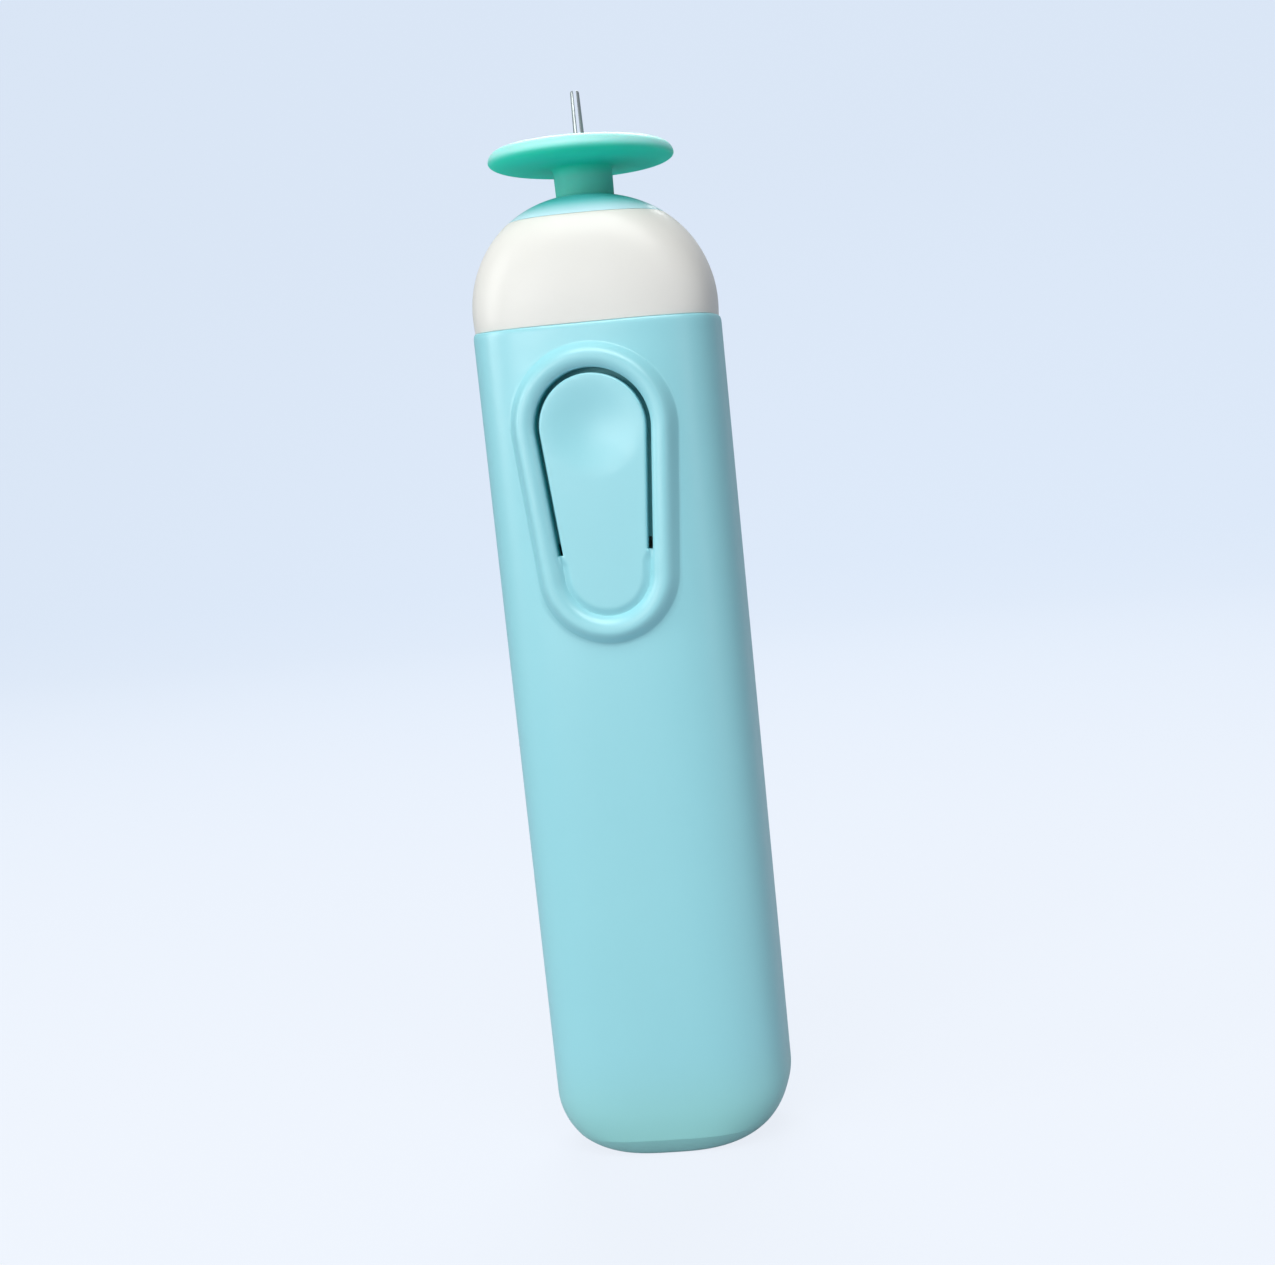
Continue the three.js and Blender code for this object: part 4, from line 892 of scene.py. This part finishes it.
def moulded(name, base, deep, roughness, grain=0.004, rub_depth=0.07, shine=0.5):
    """Moulded plastic: slow cloudy tone, faint flow lines down the part, sparse darker specks, an uneven
    gloss and a fine grain."""
    finish = Finish(name, roughness)
    finish.shader["Specular IOR Level"].default_value = shine
    finish.colour(finish.mixed(finish.ranged(finish.noise(38, 4), 0.32, 0.7, 0.0, 0.4), base, deep))
    finish.tint(finish.ranged(finish.noise(150, 2, (1.0, 1.0, 0.12)), 0.35, 0.7, 0.0, 0.16), deep)
    speck = finish.ranged(finish.noise(2600, 2), 0.66, 0.74, 0.0, 0.04)
    finish.tint(speck, tuple(0.82 * c for c in base[:3]) + (1.0,))
    rub = finish.noise(420, 6, rough=0.65)
    finish.roughness(finish.ranged(rub, 0.3, 0.75, roughness - rub_depth, roughness + rub_depth))
    finish.bump(finish.math("ADD", finish.noise(1500, 3), finish.noise(260, 2)), grain)
    return finish


def body_plastic(name, slotted):
    """Light cyan plastic of the sleeve and button, with painted shade towards the foot: darker and
    greener lower down. The sleeve's also has painted shade in deep teal on the walls of the slot, from a
    little behind the pad's face."""
    finish = moulded(name, srgb(156, 223, 232), srgb(150, 217, 228), 0.35, rub_depth=0.05, shine=0.85)
    across, into, up = finish.axes()
    # painted shade: darker and greener below about 16 mm, where the foot faces down
    finish.tint(finish.step(up, 0.0, 16.0, 0.85, 0.0), srgb(150, 214, 210))
    if slotted:
        # painted shade: deep teal on the slot's walls behind the pad's face, where the narrow gap lies in
        # shade
        near = finish.ranged(finish.math("ABSOLUTE", across), 7.9 * MM, 8.0 * MM, 1.0, 0.0)
        wall = finish.math("MULTIPLY", near, finish.band(into, PAD_Y + 0.9, PAD_Y + 2.6, 0.2))
        level = finish.band(up, HINGE_Z - 0.1, TOP_Z + TOP_RADIUS + 0.5, 0.05)
        finish.tint(finish.math("MULTIPLY", wall, level), srgb(52, 196, 202))
    return finish.material


def nose_plastic():
    """Pale cyan plastic of the nose, with painted shade towards the hub: deeper teal near the dome's top,
    under the disc.
    """
    finish = moulded("nose_plastic", srgb(198, 238, 247), srgb(191, 232, 242), 0.36, 0.002, 0.04)
    # painted shade: deeper teal towards the hub, where the disc shades the dome
    finish.tint(finish.step(finish.axes()[2], NOSE_Z + 0.2, DOME_Z - 0.9), srgb(101, 218, 221))
    return finish.material


def head_plastic():
    """Saturated green plastic of the disc and hub, which lets some light through. The disc's upper rim has
    a painted highlight, a paler colour there, and its underside and the hub are duller."""
    finish = moulded("head_plastic", srgb(22, 230, 198), srgb(17, 224, 191), 0.42, 0.002, 0.04, 0.4)
    finish.shader["Subsurface Weight"].default_value = 0.6
    finish.shader["Subsurface Radius"].default_value = (0.3, 1.0, 0.9)
    finish.shader["Subsurface Scale"].default_value = 1.6 * MM
    up = finish.axes()[2]
    finish.tint(finish.step(up, DISC_Z - 2.2, DISC_Z - 0.2, 0.9, 0.0), srgb(104, 210, 196))
    # painted highlight: a paler colour on the disc's upper outer rim, where the lamps catch it
    flat = finish.add("ShaderNodeVectorMath", [(0, finish.place), (1, (1.0, 1.0, 0.0))], operation="MULTIPLY")
    reach = finish.add("ShaderNodeVectorMath", [(0, flat.outputs[0])], operation="LENGTH").outputs["Value"]
    edge = finish.step(reach, DISC_RADIUS - 3.4, DISC_RADIUS - 1.6)
    pale = finish.math("MULTIPLY", finish.step(up, DISC_Z + 0.2, DISC_Z + 1.3), edge)
    finish.tint(pale, srgb(166, 235, 229))
    finish.roughness(finish.step(up, DISC_Z - 0.2, DISC_Z + 1.0, 0.7, 0.42))
    return finish.material


def plain_metal(name, colour, dark, roughness, along=(1.0, 1.0, 0.05)):
    """Bare metal with fine drawn lines and dull patches."""
    finish = Finish(name, roughness, metallic=1.0)
    lines = finish.noise(2400, 3, along)
    finish.colour(finish.mixed(finish.ranged(lines, 0.3, 0.7, 0.0, 0.5), colour, dark))
    finish.tint(finish.ranged(finish.noise(300, 4), 0.4, 0.75, 0.0, 0.5), dark)
    finish.roughness(finish.ranged(finish.noise(600, 4), 0.3, 0.7, roughness - 0.06, roughness + 0.12))
    finish.bump(lines, 0.002)
    return finish.material


def cell_cover(name, low, high, nub_up):
    """A dry cell: bare steel at both ends and a film cover between them, pale grey with one dark band
    next to the nub. Bands are set by the height in the part."""
    finish = Finish(name, 0.3)
    up, edge, bare_flat, bare_nub = finish.axes()[2], 0.05, 0.55, 1.5
    if nub_up:
        dark = finish.band(up, high - 13.5, high - 1.6, edge)
        cover = finish.band(up, low + bare_flat, high - bare_nub, edge)
    else:
        dark = finish.band(up, low + 1.6, low + 13.5, edge)
        cover = finish.band(up, low + bare_nub, high - bare_flat, edge)
    tone = finish.ranged(finish.noise(90, 3), 0.35, 0.65, 0.0, 0.5)
    film = finish.mixed(tone, srgb(217, 221, 224), srgb(205, 210, 214))
    film = finish.mixed(dark, film, srgb(46, 92, 110))
    finish.colour(finish.mixed(cover, srgb(188, 188, 184), film))
    finish.join(finish.ranged(cover, 0.0, 1.0, 0.9, 0.0), finish.shader["Metallic"])
    finish.roughness(finish.ranged(finish.noise(500, 4), 0.3, 0.7, 0.24, 0.36))
    finish.bump(finish.noise(180, 3), 0.01)
    return finish.material


# --- Stage, lamps and camera ---


WALL_BLUE = srgb(219, 231, 247)


def sweep():
    """A pale floor that runs back level, bends up in a quarter circle and ends in an upright wall."""
    half_width, front, back, bend, top = 2200.0, -1400.0, 620.0, 420.0, 2200.0
    turn = quarter(33)
    y = np.concatenate([[front], back + bend * np.sin(turn), [back + bend]])
    z = np.concatenate([[0.0], bend * (1 - np.cos(turn)), [top]])
    points = points_of(np.linspace(-half_width, half_width, 3), y[:, None], z[:, None])
    obj = mesh_object("studio_sweep", points.reshape(-1, 3), grid_quads(len(y), 3))
    tidy(obj, outwards=False)
    obj.data.materials.append(sweep_paper())


def sweep_paper():
    """Pale blue paper, a little deeper towards the wall. Seen straight, or in a mirror or through glass,
    it mostly shows its own colour, and it keeps a share of the light that falls on it, and so the
    shadow."""
    material = bpy.data.materials.new("sweep_paper")
    nodes = Nodes(material)
    nodes.tree.nodes.remove(nodes.tree.nodes["Principled BSDF"])
    place = nodes.add("ShaderNodeTexCoord").outputs["Object"]
    back = nodes.add("ShaderNodeSeparateXYZ", [(0, place)]).outputs["Y"]
    tint = nodes.mixed(nodes.ranged(back, 0.0, 0.75), srgb(236, 241, 249), WALL_BLUE)
    glow = nodes.add("ShaderNodeEmission", [("Color", tint), ("Strength", 1.18)])
    paper = nodes.add("ShaderNodeBsdfDiffuse", [("Color", srgb(152, 159, 169))])
    nodes.surface(seen_share(nodes, 0.8, 0.2, 0.8), paper, glow, "Material Output")
    return material


def seen_share(nodes, straight, mirrored, through):
    """The share of a backdrop's own glow for a ray: one amount straight from the camera, one for a
    mirrored ray and one for a ray through glass, and none for a ray that lights a dull surface."""
    path = nodes.add("ShaderNodeLightPath").outputs
    share = nodes.math("MULTIPLY", path["Is Camera Ray"], straight)
    share = nodes.math("MULTIPLY_ADD", path["Is Glossy Ray"], mirrored, share)
    return nodes.math("MULTIPLY_ADD", path["Is Transmission Ray"], through, share)


def softbox(name, place, aim, size, power, colour):
    """A soft rectangular lamp of some watts at a point, turned towards another."""
    lamp = bpy.data.lights.new(name, "AREA")
    lamp.shape = "RECTANGLE"
    lamp.size, lamp.size_y = size[0] * MM, size[1] * MM
    lamp.energy = power
    lamp.color = colour
    obj = placed(name, lamp)
    obj.location = metres(*place)
    obj.rotation_euler = (Vector(aim) - Vector(place)).to_track_quat("-Z", "Y").to_euler()


def studio_light():
    """A wide lamp high in front with a strip above it, weaker ones low on the left and low in front, a
    faint strip on the right, one lamp high behind for the back, and a dim pale surround."""
    middle, warm = (0, 0, 95), (1.0, 1.0, 0.985)
    softbox("main_lamp", (130, -900, 1190), middle, (1560, 600), 12.3, warm)
    softbox("top_strip", (-90, -450, 1160), middle, (780, 240), 2.8, warm)
    softbox("left_lamp", (-760, -330, 330), middle, (260, 480), 1.8, warm)
    softbox("front_lamp", (-350, -700, 190), middle, (420, 240), 1.35, warm)
    softbox("right_strip", (390, -350, 150), middle, (90, 420), 0.15, (0.97, 0.85, 0.94))
    softbox("back_lamp", (-60, 560, 700), middle, (500, 400), 4.2, (1.0, 1.0, 1.0))
    world = bpy.data.worlds.new("surround")
    bpy.context.scene.world = world
    nodes = Nodes(world)
    dim = nodes.tree.nodes["Background"]
    dim.inputs["Color"].default_value = (0.93, 0.96, 1.0, 1.0)
    dim.inputs["Strength"].default_value = 0.16
    pale = nodes.add("ShaderNodeBackground", [("Color", WALL_BLUE), ("Strength", 1.0)])
    nodes.surface(seen_share(nodes, 1.0, 0.2, 1.0), dim, pale, "World Output")


def camera():
    """The camera in front and a little to the right, near the button's height, looking slightly down
    and rolled a few degrees. Its lens is shifted sideways, so the pen stands left of its axis."""
    eye = Vector((49.70, -237.67, 98.15))
    yaw, pitch, roll = math.radians(4.140), math.radians(-5.752), math.radians(5.141)
    ahead = Vector((
        -math.sin(yaw) * math.cos(pitch), math.cos(yaw) * math.cos(pitch), math.sin(pitch),
    ))
    level = Vector((math.cos(yaw), math.sin(yaw), 0))
    upright = level.cross(ahead)
    right = math.cos(roll) * level - math.sin(roll) * upright
    up = math.sin(roll) * level + math.cos(roll) * upright
    data = bpy.data.cameras.new("camera")
    data.sensor_width, data.lens = 36.0, 49.41
    data.shift_x, data.shift_y = -0.1762, -0.0304
    data.clip_start, data.clip_end = 0.01, 20.0
    obj = placed("camera", data)
    obj.matrix_world = Matrix.Translation(eye * MM) @ Matrix((right, up, -ahead)).transposed().to_4x4()
    bpy.context.scene.camera = obj


# --- Making everything ---


def outside():
    """The pieces that show when the pen is closed."""
    sleeve_shell(body_plastic("sleeve_plastic", True))
    button = body_plastic("button_plastic", False)
    button_pad(button)
    button_plunger(button)
    white = moulded("cap_plastic", srgb(236, 235, 229), srgb(233, 232, 226), 0.35, 0.002, 0.02).material
    cap_shell(white)
    nose_shell(nose_plastic())
    disc_and_hub(head_plastic())


def inner_materials():
    """Materials of the pieces inside, by name. Metals that aren't drawn have no direction."""
    even = (1, 1, 1)
    metals = {
        "steel": (srgb(196, 199, 200), srgb(160, 163, 164), 0.26),
        "nickel": (srgb(204, 202, 194), srgb(168, 165, 156), 0.28, even),
        "brass": (srgb(206, 172, 98), srgb(160, 124, 60), 0.3, even),
        "bronze": (srgb(176, 130, 84), srgb(128, 88, 52), 0.42, even),
        "copper": (srgb(196, 116, 72), srgb(146, 78, 42), 0.34, (1, 1, 0.3)),
    }
    plastics = {
        "frame_plastic": (srgb(104, 190, 196), srgb(92, 176, 184), 0.46, 0.008),
        "gear_nylon": (srgb(240, 240, 234), srgb(226, 226, 216), 0.45, 0.006),
        "bell_nylon": (srgb(232, 229, 216), srgb(216, 212, 198), 0.5, 0.006),
        "ferrite": (srgb(62, 62, 66), srgb(44, 44, 48), 0.75, 0.02),
        "red_cover": (srgb(190, 58, 46), srgb(168, 46, 38), 0.45, 0.004),
        "black_cover": (srgb(44, 45, 50), srgb(32, 33, 37), 0.45, 0.004),
    }
    made = {name: plain_metal(name, *values) for name, values in metals.items()}
    made.update((name, moulded(name, *values).material) for name, values in plastics.items())
    return made


def inside():
    """The needle, the pieces on the chassis that show when it is drawn out, and those closed in for good."""
    made = inner_materials()
    needle(plain_metal("needle_steel", srgb(206, 213, 212), srgb(176, 184, 183), 0.42))
    for node, nub_up, name in (("cell_left", True, "left_dry_cell"), ("cell_right", False, "right_dry_cell")):
        low, high = corners(node)
        cell(name, node, nub_up, cell_cover(name, low[2], high[2], nub_up))
    coil("lower_spring_coil", "lower_contact_spring", 2.5, made["nickel"])
    coil("upper_spring_coil", "upper_contact_spring", 2.5, made["nickel"])

    # nodes, their body, their slot and the width of their bevelled edges in millimetres
    fine = [
        ("chassis_frame", "chassis", "frame_plastic", 0.16),
        ("gearbox_cover", "chassis", "frame_plastic", 0.15),
        ("motor_can", "chassis", "steel", 0.2),
        ("motor_end_bell", "chassis", "bell_nylon", 0.12),
        ("bridge_contact positive_contact negative_contact", "chassis", "nickel", 0.06),
        ("motor_terminal_left motor_terminal_right", "chassis", "brass", 0.05),
        ("leaf_rivet", "chassis", "nickel", 0.1),
        ("switch_leaf", "leaf", "brass", 0.03),
        ("switch_fixed_contact", "chassis", "brass", 0.03),
        ("cover_screw_front cover_screw_back motor_screw_front motor_screw_back", "chassis", "nickel", 0.05),
        ("lead_red", "chassis", "red_cover", 0),
        ("lead_black", "chassis", "black_cover", 0),
        ("lead_switch", "chassis", "red_cover", 0),
    ]
    for nodes, body, slot, bevel in fine:
        for node in nodes.split():
            refined(node, body, made[slot], bevel)

    closed_in = {
        "steel": "layshaft_pin motor_shaft armature_core output_shaft",
        "bronze": "nose_bushing cover_bushing motor_front_bushing motor_rear_bushing",
        "copper": "motor_brush_left motor_brush_right commutator "
                  "armature_winding_1 armature_winding_2 armature_winding_3",
        "brass": "motor_pinion",
        "ferrite": "motor_magnet_left motor_magnet_right",
        "gear_nylon": "compound_gear output_gear",
    }
    for name, nodes in closed_in.items():
        for node in nodes.split():
            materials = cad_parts[node].data.materials
            materials.clear()
            materials.append(made[name])


bpy.context.scene.view_settings.view_transform = "Standard"
camera()
sweep()
studio_light()
outside()
inside()

bpy.context.view_layer.update()
